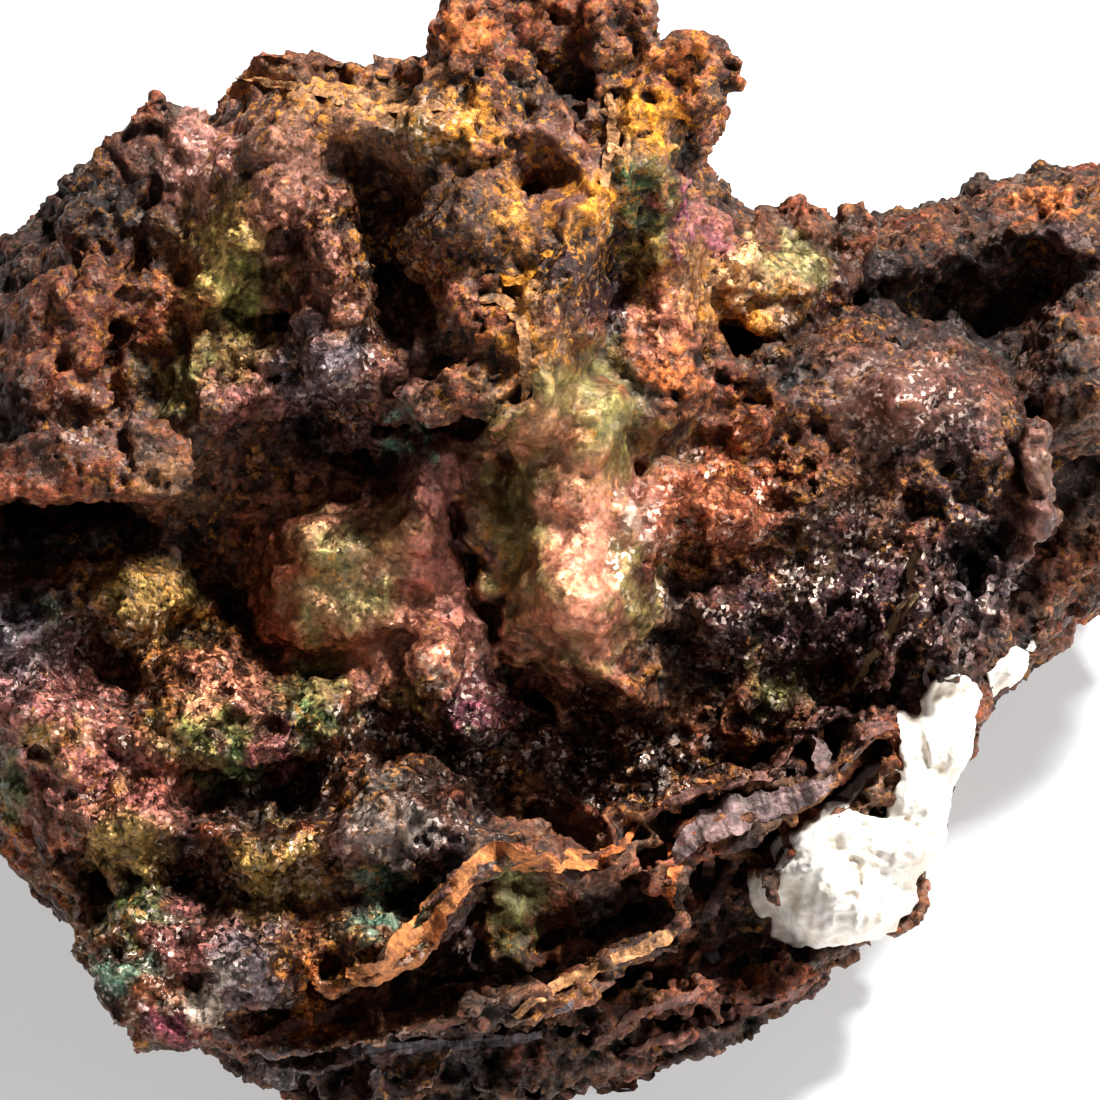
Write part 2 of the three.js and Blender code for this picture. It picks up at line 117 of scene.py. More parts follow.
def smoothed(values, edges, rounds, pull=0.5):
    """Values per vertex, drawn towards the mean of each vertex's neighbours."""
    columns = np.array(values, float).reshape(len(values), -1)
    a, b = edges.T
    count = np.maximum(np.bincount(edges.ravel(), minlength=len(columns)), 1)
    for _ in range(rounds):
        for c in range(columns.shape[1]):
            total = np.bincount(a, columns[b, c], len(columns)) + np.bincount(b, columns[a, c], len(columns))
            columns[:, c] += pull * (total / count - columns[:, c])
    return columns.reshape(np.shape(values))


def ramp(values, low, high):
    """0 at low, 1 at high, and a smooth step between."""
    t = np.clip((values - low) / (high - low), 0, 1)
    return t * t * (3 - 2 * t)


def sampled(points, scale, function):
    """A noise function of Blender's, read at points in millimetres for a pattern about one scale across."""
    return np.array([function(p) for p in (points / scale).tolist()])


def clouds(points, scale, octaves=4):
    return sampled(points, scale, lambda p: noise.fractal(p, 0.8, 2.0, octaves))


def strays(points, scale, reach=1.0):
    """A short way in any direction, that changes smoothly from place to place."""
    return sampled(points, scale, lambda p: (noise.noise_vector(p) * reach).to_tuple())


def grains(points, scale):
    """Distance to the nearest of many scattered seeds, in grains."""
    return sampled(points, scale, lambda p: noise.voronoi(p)[0][0])


FACE_SPREAD = 7.3


def facets(points, scale):
    """Flat faces, each tilted its own way: height, distance from the face's middle, and to the next face."""
    def face(p):
        (near, second, *_), seeds = noise.voronoi(p)
        lean = noise.noise_vector(seeds[0] * FACE_SPREAD)
        return (Vector(p) - seeds[0]).dot(lean), near, second - near
    return sampled(points, scale, face)


def apply_modifiers(piece):
    graph = bpy.context.evaluated_depsgraph_get()
    finished = bpy.data.meshes.new_from_object(piece.evaluated_get(graph))
    piece.modifiers.clear()
    old = piece.data
    piece.data = finished
    bpy.data.meshes.remove(old)


def triangle_count(mesh):
    return sum(len(polygon.vertices) - 2 for polygon in mesh.polygons)


def remeshed(source, name, voxel):
    """A copy of a solid with an even skin of small square faces."""
    mesh = source.data.copy()
    mesh.materials.clear()
    piece = bpy.data.objects.new(name, mesh)
    bpy.context.scene.collection.objects.link(piece)
    remesh = piece.modifiers.new("skin", "REMESH")
    remesh.mode = "VOXEL"
    remesh.voxel_size = voxel * MM
    apply_modifiers(piece)
    return piece


def drop_specks(mesh):
    """Leaves out the specks that hang free beside the main body."""
    a, b = edges_of(mesh).T
    body = np.arange(len(mesh.vertices))
    while True:
        least = np.minimum(body[a], body[b])
        joined = body.copy()
        np.minimum.at(joined, a, least)
        np.minimum.at(joined, b, least)
        joined = joined[joined]
        if (joined == body).all():
            break
        body = joined
    loose = np.bincount(body, minlength=len(body))[body] < SPECK_CORNERS
    kept = bmesh.new()
    kept.from_mesh(mesh)
    kept.verts.ensure_lookup_table()
    bmesh.ops.delete(kept, geom=[kept.verts[i] for i in np.nonzero(loose)[0].tolist()], context="VERTS")
    kept.to_mesh(mesh)
    kept.free()


def patch(points, across, up, half_width, half_height, turn=0.0, edge=0.35):
    """1 inside a soft-edged oval on the face and 0 outside it."""
    c, s = math.cos(math.radians(turn)), math.sin(math.radians(turn))
    x, y = points[:, 0] - across, points[:, 1] - up
    reach = np.hypot((c * x + s * y) / half_width, (c * y - s * x) / half_height)
    return 1 - ramp(reach, 1 - edge, 1 + edge)


# Calm places, where the skin is smooth: across, up, half width, half height, turn, how calm.
CALM = [
    (3, 4, 9, 17, 0, 0.9),
    (-10, 0, 8, 12, 0, 0.85),
    (-21, -4, 9, 9, 0, 0.85),
    (6, 26.5, 3.4, 3.4, 0, 1),
    (-5, -37, 14, 3, 45, 0.7),
    (-17, -42, 8, 2.5, 0, 0.7),
    (49, 5, 3, 7, 0, 0.8),
    (20, -25.5, 12, 2.4, 20, 0.6),
    (-22, -27, 9, 3.5, 0, 0.6),
    (33, 15, 6, 5, 0, 0.75),
    (1, 37, 4, 6, 0, 0.8),
    (-40, -18, 20, 22, 0, 0.35),
    (-30, -38, 20, 12, 0, 0.35),
    (-28, 30, 16, 20, 0, 0.45),
    (2, -20, 22, 8, -6, 0.3),
    (26, -4, 16, 12, 0, 0.35),
    (20, 27, 12, 8, 0, 0.5),
    (16, 6, 9, 8, 0, 0.4),
    (-48, 16, 12, 18, 0, 0.4),
    (0, -38, 12, 8, 0, 0.5),
]


def calm_at(points):
    calm = np.zeros(len(points))
    for *place, most in CALM:
        calm = np.maximum(calm, most * patch(points, *place))
    return calm


# The beds lie level 30 mm to the left of the middle, and rise and steepen towards the right.
BED_LEVEL_AT = 30
BED_FOOT = 51
BED_RISE = 0.1
BED_CURVE = 0.0035
BED_LEAN = 0.25


def beds(points):
    """Which layer each place lies in, in millimetres above the lowest."""
    u = points[:, 0] + BED_LEVEL_AT
    wander = 0.9 * clouds(points + 13, 9, 2) + 0.35 * clouds(points + 31, 3, 2)
    bend = points[:, 1] + BED_FOOT - BED_RISE * u - BED_CURVE * u * np.abs(u)
    return bend + BED_LEAN * (points[:, 2] + 10) + wander


# Where the beds show as thin plates: across, up, half width, half height, turn, depth, thickness.
PLATED = [
    (4, -50, 44, 9, 14, 2.0, 2.1),
    (23, -27, 15, 7, 24, 1.7, 2.3),
]
# Where the rock splits along its own grain: across, up, half width, half height, turn, depth, spacing, lean.
STREAKED = [
    (-40, 36, 7, 13, -30, 0.5, 1.1, -60),
    (-22, 48, 12, 4, -8, 0.5, 1.5, -8),
    (48, -1, 8, 9, 0, 1.3, 2.2, -38),
    (36, -8, 7, 11, -20, 1.0, 2.6, 66),
    (-46, 4, 12, 3, 4, 0.6, 1.7, 4),
    (2, 47, 3, 6, 0, 0.5, 1.6, 75),
]
# Hollows that are less deep than the solids have them: across, up, half width, half height, turn, level.
SHALLOWS = [
    (-30, 5, 11, 9, 0, -4.5),
    (-6, -2, 6, 15, 0, 1.0),
    (-13, -9, 6, 8, 0, 0.5),
    (2, -21, 19, 7, -6, -6),
    (20, 8, 14, 19, 0, -4),
    (0, -38, 13, 7, 0, -8),
    (17, -40, 10, 7, 0, -8),
    (-48, -1, 11, 4, 0, -7),
    (10, 20, 6, 9, 0, -1.5),
    (36, 8, 12, 13, 0, -6),
    (38, -12, 8, 9, 0, -6),
    (-16, 12, 6, 3, 0, 0),
    (-38, -22, 16, 12, 0, -5),
    (-25, -33, 12, 6, 0, -6),
    (-17, 30, 5, 12, 0, -2),
]
# Black cracks: half width, depth, and the line across and up the face.
CRACKS = [
    (0.61, 3.8, [(-9.6, 5), (-8.6, 0), (-6.6, -6), (-5.2, -10), (-3, -14), (1, -17)]),
    (0.41, 2.1, [(-4.6, 10), (-5, 4)]),
    (0.6, 2.6, [(-40, 37), (-41.6, 30), (-42.4, 22), (-42.8, 12), (-41.5, 8)]),
    (0.48, 2.5, [(-26.4, 23), (-27.2, 19), (-26.6, 15)]),
    (0.61, 2.5, [(-17, 12.4), (-12, 11.6), (-7, 12.8), (-2.6, 15.4)]),
    (0.5, 1.6, [(-20.4, 39), (-18.6, 33), (-17, 27), (-15.4, 22)]),
    (0.4, 1.6, [(-33, 24), (-31.6, 20), (-32.6, 14), (-30.4, 9)]),
    (0.54, 3.0, [(-47.6, 30), (-48.6, 22), (-50, 15)]),
    (0.41, 2.1, [(-0.4, 55), (0.2, 50), (-1.8, 46), (-3.6, 44)]),
    (0.61, 2.5, [(3.6, 47.6), (2.4, 44), (4.4, 41)]),
    (0.48, 2.1, [(8, 12), (9.6, 8), (9, 3), (10.6, -2)]),
    (0.54, 2.5, [(-24, 12), (-22, 9.6), (-18, 9)]),
    (0.41, 2.1, [(24, 12), (27, 8), (26, 3)]),
    (0.48, 2.1, [(-40, -16), (-36, -20), (-31, -19)]),
    (0.48, 2.1, [(-46, -28), (-41, -33), (-35, -33)]),
    (0.7, 3.0, [(-7.1, -32.8), (-6.9, -35), (-7.4, -39), (-7.2, -42)]),
    (0.6, 2.6, [(-23, -44.5), (-18, -43.6), (-12.4, -41.6), (-10.6, -41.4)]),
    (0.9, 3.2, [(-1, -40.4), (3, -39), (7.5, -37.7), (11, -36.3)]),
    (1.0, 3.6, [(21.4, -30.8), (25, -28.6), (29.4, -25), (31.9, -22.6)]),
    (1.2, 3.2, [(9.8, -27.8), (10.4, -29.2), (9.4, -30.6)]),
    (0.6, 2.6, [(25.2, -19.4), (25.5, -21.8)]),
    (0.9, 2.4, [(-21.6, -41.6), (-20.8, -41.4)]),
]


def walked(line, step):
    """Places at even steps along a line, with its corners cut off twice over."""
    line = np.array(line, float)
    for _ in range(2):
        inner = np.stack([0.75 * line[:-1] + 0.25 * line[1:], 0.25 * line[:-1] + 0.75 * line[1:]], 1)
        line = np.vstack([line[:1], inner.reshape(-1, 2), line[-1:]])
    way = np.concatenate([[0], np.cumsum(np.hypot(*np.diff(line, axis=0).T))])
    at = np.arange(0, way[-1], step)
    return np.stack([np.interp(at, way, line[:, 0]), np.interp(at, way, line[:, 1])], 1)


CRACK_STEP = 0.4
CRACK_REACH = 3
FAR_OFF = 99.0


def from_line(points, line):
    """Distance from a line on the face, worked out only near it."""
    distance = np.full(len(points), FAR_OFF)
    way = walked(line, CRACK_STEP)
    low, high = way.min(0) - CRACK_REACH, way.max(0) + CRACK_REACH
    near = ((points[:, :2] > low) & (points[:, :2] < high)).all(1)
    for place in way:
        distance[near] = np.minimum(distance[near], np.hypot(*(points[near, :2] - place).T))
    return distance


def plates(along, thickness, gap=0.5):
    """0 on the plates of a pile and 1 in the black gaps between them."""
    t = np.mod(along / thickness, 1)
    return ramp(t, 1 - gap, 1 - 0.7 * gap) - ramp(t, 0.88, 1.0)


def uneven(along, thickness):
    """How far each plate of the pile stands out, from -0.5 to 0.5: no two neighbours alike."""
    shuffle, spread = 12.9898, 437.585
    return np.mod(np.sin(np.floor(along / thickness) * shuffle) * spread, 1) - 0.5


def along_normals(mesh, height):
    return read_points(mesh) + read_points(mesh, "vertex_normals", "vector") * (height * MM)[:, None]


# How the rock is roughed out, all in millimetres: size and reach of its drifting, then size and depth of its
# broken faces, swells and splits. A face is tilted, and domed where the skin is calm.
DRIFT_SIZES = [(8, 1.4), (3, 0.7)]
BLOCK_SIZE, BLOCK_TILT, BLOCK_DOME = 5.2, 3.2, 0.9
SWELL_SIZE, SWELL_DEPTH = 14, 0.9
SPLIT_SIZE, SPLIT_DEPTH = 12, 1.4
MEANDER_SIZES = [(3.5, 1.1), (1.1, 0.5)]
# How far a shallow hollow is filled up to its level. Hollows and cracks fade out towards the plain back.
HOLLOW_FILL = 0.85
HOLLOW_BACK = (-30, -24)
CRACK_BACK = (-24, -18)

rock = remeshed(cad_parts["goethite"], "goethite_rock", CARVING_VOXEL)
points = to_face(smoothed(read_points(rock.data), edges_of(rock.data), 3))

# The whole surface is shifted about by a few millimetres, so that no edge runs straight.
points += sum(strays(points, size, reach) for size, reach in DRIFT_SIZES)
for across, up, half_width, half_height, turn, level in SHALLOWS:
    share = HOLLOW_FILL * patch(points, across, up, half_width, half_height, turn, 0.4)
    share *= ramp(points[:, 2], *HOLLOW_BACK)
    points[:, 2] += share * np.maximum(level - points[:, 2], 0)
write_points(rock.data, to_row(points))

rough = 1 - 0.85 * calm_at(points)
tilt, near, gap = facets(points, BLOCK_SIZE).T
height = rough * BLOCK_TILT * tilt + (1 - 0.35 * rough) * BLOCK_DOME * (0.5 - near ** 1.6)
height += SWELL_DEPTH * clouds(points, SWELL_SIZE, 3)
split = ramp(clouds(points + 55, SPLIT_SIZE, 2), -0.1, 0.4)
height -= SPLIT_DEPTH * rough * split * (1 - ramp(gap, 0.03, 0.13))
meander = points
for size, reach in MEANDER_SIZES:
    meander = meander + reach * strays(points, size)
for half_width, depth, line in CRACKS:
    inside = 1 - ramp(from_line(meander, line) / half_width, 0.35, 1.1)
    height -= depth * inside * ramp(points[:, 2], *CRACK_BACK)
bed = beds(points)
for across, up, half_width, half_height, turn, depth, thickness in PLATED:
    share = patch(points, across, up, half_width, half_height, turn, 0.25)
    height += share * depth * (uneven(bed, thickness) * 0.9 - plates(bed, thickness))
for across, up, half_width, half_height, turn, depth, spacing, lean in STREAKED:
    lean = math.radians(lean)
    along = points[:, 1] * math.cos(lean) - points[:, 0] * math.sin(lean) + 0.6 * clouds(points + 5, 5, 2)
    share = patch(points, across, up, half_width, half_height, turn, 0.3)
    height += share * depth * (uneven(along, spacing) * 0.8 - plates(along, spacing, 0.4))
write_points(rock.data, along_normals(rock.data, height))
carved = rock
rock = remeshed(carved, "goethite_rock", SKIN_VOXEL)
bpy.data.objects.remove(carved)

# Then the fine skin, size and depth in millimetres: crumbs with flat faces, beads, sharp crests, creases,
# grains, and little holes that come in patches.
CRUMB_SIZE, CRUMB_TILT = 1.9, 1.35
BEAD_DOME = 0.35
CREST_SIZE, CREST_DEPTH = 3.4, 0.45
CREASE_SIZE, CREASE_DEPTH = 2.6, 0.5
GRAIN_SIZE, GRAIN_DEPTH = 0.95, 0.36
HOLE_SIZE, HOLE_DEPTH = 1.7, 0.8
PATCH_SIZE = 9

points = to_face(smoothed(read_points(rock.data), edges_of(rock.data), 2, 0.4))
write_points(rock.data, to_row(points))
rough = 1 - 0.7 * calm_at(points)
beady = rough * ramp(clouds(points + 70, PATCH_SIZE, 2), -0.3, 0.3)
tilt, near, _ = facets(points, CRUMB_SIZE).T
height = CRUMB_TILT * rough * tilt + BEAD_DOME * beady * (0.5 - near ** 1.5)
crest = sampled(points, CREST_SIZE, lambda p: noise.ridged_multi_fractal(p, 0.9, 2.1, 3, 0.9, 2.0))
height += CREST_DEPTH * (0.3 + 0.7 * rough) * (crest - 0.9)
crease = sampled(points, CREASE_SIZE, lambda p: noise.turbulence(p, 3, True))
height += CREASE_DEPTH * (0.4 + 0.6 * rough) * (crease - 0.6)
height += GRAIN_DEPTH * (0.25 + 0.75 * rough) * (0.5 - grains(points, GRAIN_SIZE))
spongy = ramp(clouds(points - 25, PATCH_SIZE, 2), 0.0, 0.35)
height -= HOLE_DEPTH * ramp(clouds(points + 40, HOLE_SIZE, 2), 0.46, 0.58) * rough * spongy
points = along_normals(rock.data, height)
points[:, 2] = np.maximum(points[:, 2], 0)
write_points(rock.data, points)

# The rock's colours: brown ore under a tarnish that runs from rose and gold to green, with yellow ochre dust
# on its crags, painted shade in its hollows and painted highlight on its ridges. The tarnish grew on the ore;
# the dust lies on top.

UMBER = (62, 40, 29)
DARK = (34, 22, 20)
RUST = (134, 64, 34)
COPPER = (168, 94, 64)
OCHRE = (226, 146, 34)
ORANGE = (196, 106, 48)
TAN = (176, 124, 78)
MAUVE = (114, 72, 60)
PLUM = (62, 42, 46)
SLATE = (104, 94, 98)
ASH = (128, 102, 98)
RIDGE = (188, 116, 62)
ROSE = (156, 96, 88)
SALMON = (204, 128, 98)
GOLD = (148, 120, 64)
OLIVE = (112, 108, 58)
GREEN = (72, 88, 50)
TEAL = (96, 126, 104)
MAGENTA = (138, 72, 88)
CREAM = (226, 206, 180)

# Broad drifts of colour all over: colour, size, where each starts and is full, and how strong it is.
DRIFTS = [
    ((106, 62, 38), 12, -0.4, 0.3, 0.9),
    (RUST, 7, 0.0, 0.5, 0.6),
    (DARK, 5, 0.1, 0.5, 0.75),
    ((128, 92, 66), 4, 0.15, 0.6, 0.5),
]
TINT_STRENGTH = 1.1

# Soft-edged ovals of colour on the face: colour, across, up, half width, half height, turn, strength.
TINTS = [
    # the crag at the upper left
    (DARK, -48, 24, 11, 20, 0, 0.8),
    (MAUVE, -28, 33, 9, 12, 0, 0.5),
    ((176, 118, 104), -35, 38, 2.6, 8, -8, 0.8),
    ((168, 138, 76), -33, 28.5, 4.5, 6, 10, 0.85),
    ((126, 122, 62), -31, 25.5, 2.4, 2.6, 0, 0.8),
    ((160, 106, 84), -25, 36, 3, 6, 10, 0.6),
    ((150, 100, 70), -20, 40, 6, 3, 0, 0.6),
    (MAUVE, -23.5, 32, 2.6, 8, 10, 0.6),
    (DARK, -18, 33, 2.6, 7, 6, 0.7),
    (GOLD, -13.5, 41.5, 3.6, 2.2, 0, 0.6),
    (OCHRE, -7.4, 41.8, 2.6, 2.4, 10, 1.0),
    (TAN, -20, 45.4, 13, 1.3, -10, 0.8),
    (ORANGE, -17, 48, 2, 1, 0, 0.7),
    (UMBER, -12, 30, 5, 5, 0, 0.6),
    (RUST, -10.5, 26.5, 3, 3.5, 0, 0.5),
    (SLATE, -23.5, 17.5, 4.6, 5, 0, 0.7),
    (PLUM, -20, 13.5, 5, 3, 0, 0.7),
    (MAUVE, -16, 19, 2.2, 6, 12, 0.7),
    (OLIVE, -36.5, 17, 4, 3, -10, 0.6),
    (GOLD, -31, 20.5, 3, 2, 0, 0.5),
    (ROSE, -30, 14.5, 4, 2, 15, 0.5),
    (RUST, -38.5, 23.5, 3.5, 4, 0, 0.6),
    # the blocks and the ledge at the left
    (RUST, -48, 22, 7, 8, 0, 0.45),
    (MAUVE, -44.5, 12, 4, 4, 0, 0.5),
    (RUST, -48, 6.5, 9, 2.4, 4, 0.7),
    (TAN, -37, 7.5, 3, 3, 0, 0.5),
    # painted shadow: the next dark oval lies in the shade under the ledge
    (DARK, -46, 1.5, 13, 2, 3, 0.9),
    # the spire, the horn and the spine
    (RUST, -7, 52, 7, 6, 0, 0.45),
    (ORANGE, -9.5, 51.6, 2, 2, 0, 0.8),
    (DARK, 1.6, 47, 2, 3, 0, 0.8),
    (RUST, 6, 54, 4, 3.4, 0, 0.7),
    (TAN, 6.6, 42, 1.5, 6, -8, 0.8),
    (OCHRE, 10.8, 43.6, 2.2, 2, -30, 0.85),
    (ORANGE, 13.5, 48.6, 4, 2.4, 0, 0.6),
    (OCHRE, 9.5, 40.5, 1.2, 2.4, 0, 0.7),
    (MAUVE, 0.5, 37.5, 4.4, 5, 0, 0.75),
    (OCHRE, -3.4, 33, 1.6, 2.4, 12, 0.75),
    (OCHRE, 3.4, 33.4, 2.6, 1.6, 30, 0.75),
    (TAN, -2, 26, 1.6, 7, 10, 0.75),
    (OCHRE, -3.4, 22, 1.4, 4.5, 12, 0.5),
    (PLUM, 5.6, 26.5, 3.6, 3.6, 0, 0.9),
    # the pocket beside the spine, the saddle and the arm
    (OLIVE, 9, 34, 2.2, 6, 0, 0.9),
    (GREEN, 8.4, 36.5, 1.6, 3, 0, 0.8),
    (GOLD, 9.5, 30, 1.6, 3, 0, 0.7),
    (MAGENTA, 14.2, 33.6, 2, 2.8, 0, 0.9),
    (ROSE, 17, 32.5, 2, 3, 0, 0.7),
    (SALMON, 11.6, 23, 3.2, 3.4, 0, 0.8),
    (ORANGE, 12, 18, 4, 2, -20, 0.7),
    ((200, 150, 104), 19.5, 26.4, 6, 4, 0, 0.9),
    (OCHRE, 20, 23.5, 4, 1.6, 0, 0.6),
    ((166, 152, 98), 25.6, 29.5, 3.6, 2.8, 0, 0.95),
    (ROSE, 29.5, 25.6, 2.6, 2, 0, 0.6),
    # painted shadow: the next dark oval lies in the deep shaded valley beside the arm
    (DARK, 40, 27, 15, 6, 8, 0.8),
    (DARK, 44, 19, 12, 5, 0, 0.5),
    (DARK, 29, -7, 14, 10, 0, 0.5),
    (DARK, 46, -4, 7, 12, 0, 0.5),
    (DARK, 24, 14, 6, 4, 0, 0.5),
    (DARK, -15, 8, 9, 3, 0, 0.6),
    (DARK, -31, 4, 7, 6, 0, 0.5),
    (ORANGE, 53, 37.5, 4, 1.6, 10, 0.7),
    (PLUM, 53, 32, 4, 3, 0, 0.7),
    # the smooth middle and its boss
    (MAUVE, -14, 1, 14, 12, 0, 0.5),
    ((150, 92, 82), -11, 0, 6, 10, 0, 0.85),
    (ROSE, -9, 1, 3, 6, 0, 0.5),
    (SALMON, -20.5, -3.4, 9.4, 10.4, 0, 0.85),
    ((134, 120, 74), -21.4, -3, 5.4, 5.4, 0, 0.95),
    (PLUM, -16, 8, 4, 3, 0, 0.6),
    (TEAL, -13.6, 11.4, 2, 1.4, 0, 0.9),
    (GOLD, -15, 2.5, 2.6, 2.6, 0, 0.5),
    ((140, 128, 72), 3.6, 11.5, 4.8, 7, 0, 0.9),
    (SALMON, 1, 9.5, 1.6, 5, -20, 0.5),
    ((210, 136, 104), 2, -2.5, 6.4, 10, 0, 1.0),
    ((150, 128, 74), -3.6, 4, 3.4, 10, 8, 1.0),
    ((136, 120, 66), 8.4, 0, 2, 9, 0, 0.9),
    (OLIVE, 3, -10.6, 5, 1.4, 0, 0.6),
    (SALMON, -4, 10.4, 4, 1.6, 25, 0.7),
    (DARK, -7.2, -3, 1, 8, 12, 0.8),
    (SALMON, -10.8, -11.8, 2.4, 2, 0, 0.9),
    (CREAM, -10.6, -12, 1.2, 0.9, 0, 0.6),
    (GOLD, -13.6, -14.4, 2.4, 1.4, 0, 0.7),
    (MAGENTA, -6.8, -16, 2.4, 3.4, 0, 0.75),
    (CREAM, -5.4, -19.8, 2, 0.9, 20, 0.8),
    # right of the middle
    (ROSE, 8.6, 3.6, 2.4, 4, 0, 0.8),
    (CREAM, 8, 3, 1, 1.6, 0, 0.5),
    (COPPER, 15, 5, 5.5, 4.6, 0, 0.75),
    (COPPER, 20, 1.6, 4.4, 3.4, 0, 0.8),
    (GOLD, 13.2, 10.6, 1.4, 1.8, 0, 0.8),
    (RUST, 20, 12, 5, 4, 0, 0.5),
    (GOLD, 26, -2, 3, 4, 20, 0.4),
    (MAUVE, 36, 15, 7.5, 6, 0, 0.7),
    (PLUM, 29, -6, 12, 9, 0, 0.7),
    (PLUM, 42, 6, 6, 8, 0, 0.6),
    (MAUVE, 47.8, 5, 2.6, 7, 0, 0.7),
    (SLATE, 44, -3, 3, 5, 0, 0.5),
    # the bubbly lower left
    (SLATE, -52, -9, 4.4, 4.6, 0, 1.0),
    (GREEN, -50, -7.4, 1.6, 2, 0, 0.7),
    (GOLD, -39.5, -5, 5.6, 4, 0, 0.75),
    (RUST, -27.5, -2, 3.4, 6, 0, 0.7),
    (ROSE, -49, -19, 6, 8, 0, 0.7),
    (GOLD, -49.2, -18.8, 2.2, 2.2, 0, 0.6),
    (GREEN, -53.6, -24, 1.8, 3.4, 0, 0.8),
    (SALMON, -32.6, -13.6, 3.6, 2.2, -25, 0.9),
    (OLIVE, -34, -18, 4.4, 3.4, 0, 0.85),
    (MAGENTA, -27.4, -19.6, 3.2, 3, -30, 0.6),
    (ROSE, -29, -17.5, 3, 2, -30, 0.6),
    (GREEN, -30.6, -22.2, 2.6, 1.8, 0, 0.85),
    (ROSE, -41.4, -24, 5, 4.6, 0, 0.6),
    (GOLD, -41.6, -29, 4, 3.6, 0, 0.7),
    (GREEN, -24, -16, 3, 3.4, 0, 0.8),
    (OLIVE, -22.6, -13.4, 4, 2, 0, 0.6),
    (CREAM, -16, -27, 3, 3.2, 0, 0.45),
    (SLATE, -17, -28, 5, 4, 0, 0.5),
    (GOLD, -27.4, -32, 4, 3.4, 0, 0.75),
    (TEAL, -16.4, -35, 2.4, 3.2, -30, 0.9),
    (PLUM, -10.4, -30, 2.4, 3, -30, 0.8),
    (GREEN, -42, -35.4, 4, 2.4, 20, 0.8),
    (TEAL, -42, -41.8, 2.8, 1.4, 10, 0.8),
    (ROSE, -36.5, -38, 3.4, 3, 0, 0.7),
    (CREAM, -33, -43.5, 1.8, 3, 0, 0.5),
    (SLATE, -30, -41, 4, 5, 0, 0.6),
    (ORANGE, -23.4, -44, 1.6, 4, -10, 0.7),
    (MAGENTA, -38, -46, 2.4, 2, 0, 0.6),
    # the dark glossy band and the layered foot
    (DARK, 2, -20, 20, 4, -6, 0.6),
    (DARK, -10, -23.5, 8, 3, 10, 0.6),
    (OLIVE, -3.2, -35.6, 2.6, 4.2, 0, 0.85),
    (PLUM, -9, -37, 1.8, 4.4, 0, 0.85),
    (OLIVE, 23, -14, 3, 2, 0, 0.5),
    (DARK, 0, -55, 34, 7, 8, 0.4),
    (SLATE, -20, -52, 10, 3, 0, 0.4),
    (RUST, 17, -44, 8, 3, 20, 0.4),
]
# How glossy the ore is: gloss, across, up, half width, half height, turn. Elsewhere it has the plain gloss.
PLAIN_GLOSS = 0.3
GLOSSES = [
    (0.85, -40, -22, 22, 22, 0),
    (0.95, 0, -20, 24, 6, -6),
    (0.9, -30, -38, 18, 10, 0),
    (0.75, 26, -4, 18, 16, 0),
    (0.6, -14, 0, 16, 13, 0),
    (0.45, 3, 2, 8, 16, 0),
    (0.7, -26, 24, 14, 14, 0),
    (0.6, 20, 27, 14, 7, 0),
    (0.85, 5.6, 26.5, 3.6, 3.6, 0),
    (0.15, 0, 53, 20, 8, 0),
    (0.2, -4, 38, 6, 6, 0),
]

# Where grains carry pale painted glints: across, up, half width, half height, turn, strength.
PLAIN_SPARKLE = 0.15
SPARKLING = [
    (-34, 38, 3, 8, -8, 0.9),
    (-12, 42, 5, 4, 0, 0.8),
    (-21, 17, 5, 6, 0, 0.7),
    (-15, 27, 4, 8, 0, 0.5),
    (-46, 12, 5, 5, 0, 0.5),
    (-8, -16, 8, 6, -30, 0.9),
    (-4, -20, 22, 5, -6, 0.9),
    (-14, -28, 8, 5, 0, 0.9),
    (-38, -40, 12, 7, 10, 0.9),
    (-28, -30, 12, 7, 0, 0.6),
    (-46, -14, 10, 10, 0, 0.6),
    (9, 1, 4, 6, 0, 0.9),
    (28, -6, 13, 9, 0, 0.8),
    (37, 15, 6, 5, 0, 0.9),
    (44, 0, 5, 9, 0, 0.8),
    (16, 5, 7, 5, 0, 0.6),
    (8, 33, 3, 6, 0, 0.7),
    (22, 27, 8, 4, 0, 0.5),
    (-12, -38, 4, 5, -30, 0.8),
    (-20, -50, 12, 3, 10, 0.5),
    (6, 24, 4, 4, 0, 0.4),
]

# Where yellow ochre dust lies in specks: across, up, half width, half height, strength.
DUSTY = [
    (-8, 42, 8, 5, 1.0),
    (-20, 45, 14, 4, 0.9),
    (12, 46, 8, 6, 1.0),
    (2, 34, 9, 8, 0.8),
    (-2, 24, 5, 9, 0.9),
    (-33, 36, 5, 6, 0.5),
    (-14, 30, 7, 7, 0.6),
    (0, 50, 10, 5, 0.6),
    (17, 26, 9, 5, 0.8),
    (22, 10, 8, 5, 0.5),
    (-44, 24, 8, 12, 0.35),
    (-20, -38, 8, 8, 0.4),
]


def to_linear(colour):
    c = np.asarray(colour, float) / 255
    return np.where(c < 0.04045, c / 12.92, ((c + 0.055) / 1.055) ** 2.4)


def store(mesh, name, values):
    """Keeps a number, or a colour, on each vertex under a name that a material can read."""
    values = np.asarray(values, float)
    if values.ndim == 1:
        mesh.attributes.new(name, "FLOAT", "POINT").data.foreach_set("value", values.astype(np.float32))
    else:
        full = np.ones((len(values), 4), np.float32)
        full[:, :3] = values
        mesh.attributes.new(name, "FLOAT_COLOR", "POINT").data.foreach_set("color", full.ravel())


def hollows_of(mesh, rounds):
    """How far each vertex lies under the smoothed surface, in millimetres."""
    points = read_points(mesh)
    normals = read_points(mesh, "vertex_normals", "vector")
    return ((smoothed(points, edges_of(mesh), rounds) - points) * normals).sum(1) / MM


# How far, in millimetres, the edges of the colours wander, and where they fade out towards the back.
TINT_WANDER = 3.4
TINT_BACK = (-44, -30)
# How much painted shade darkens the colour at the bottom of a hollow, and how much painted highlight
# lightens it on top of a ridge.
PAINTED_HOLLOW_SHADE = 0.86
PAINTED_RIDGE_LIGHT = 0.9


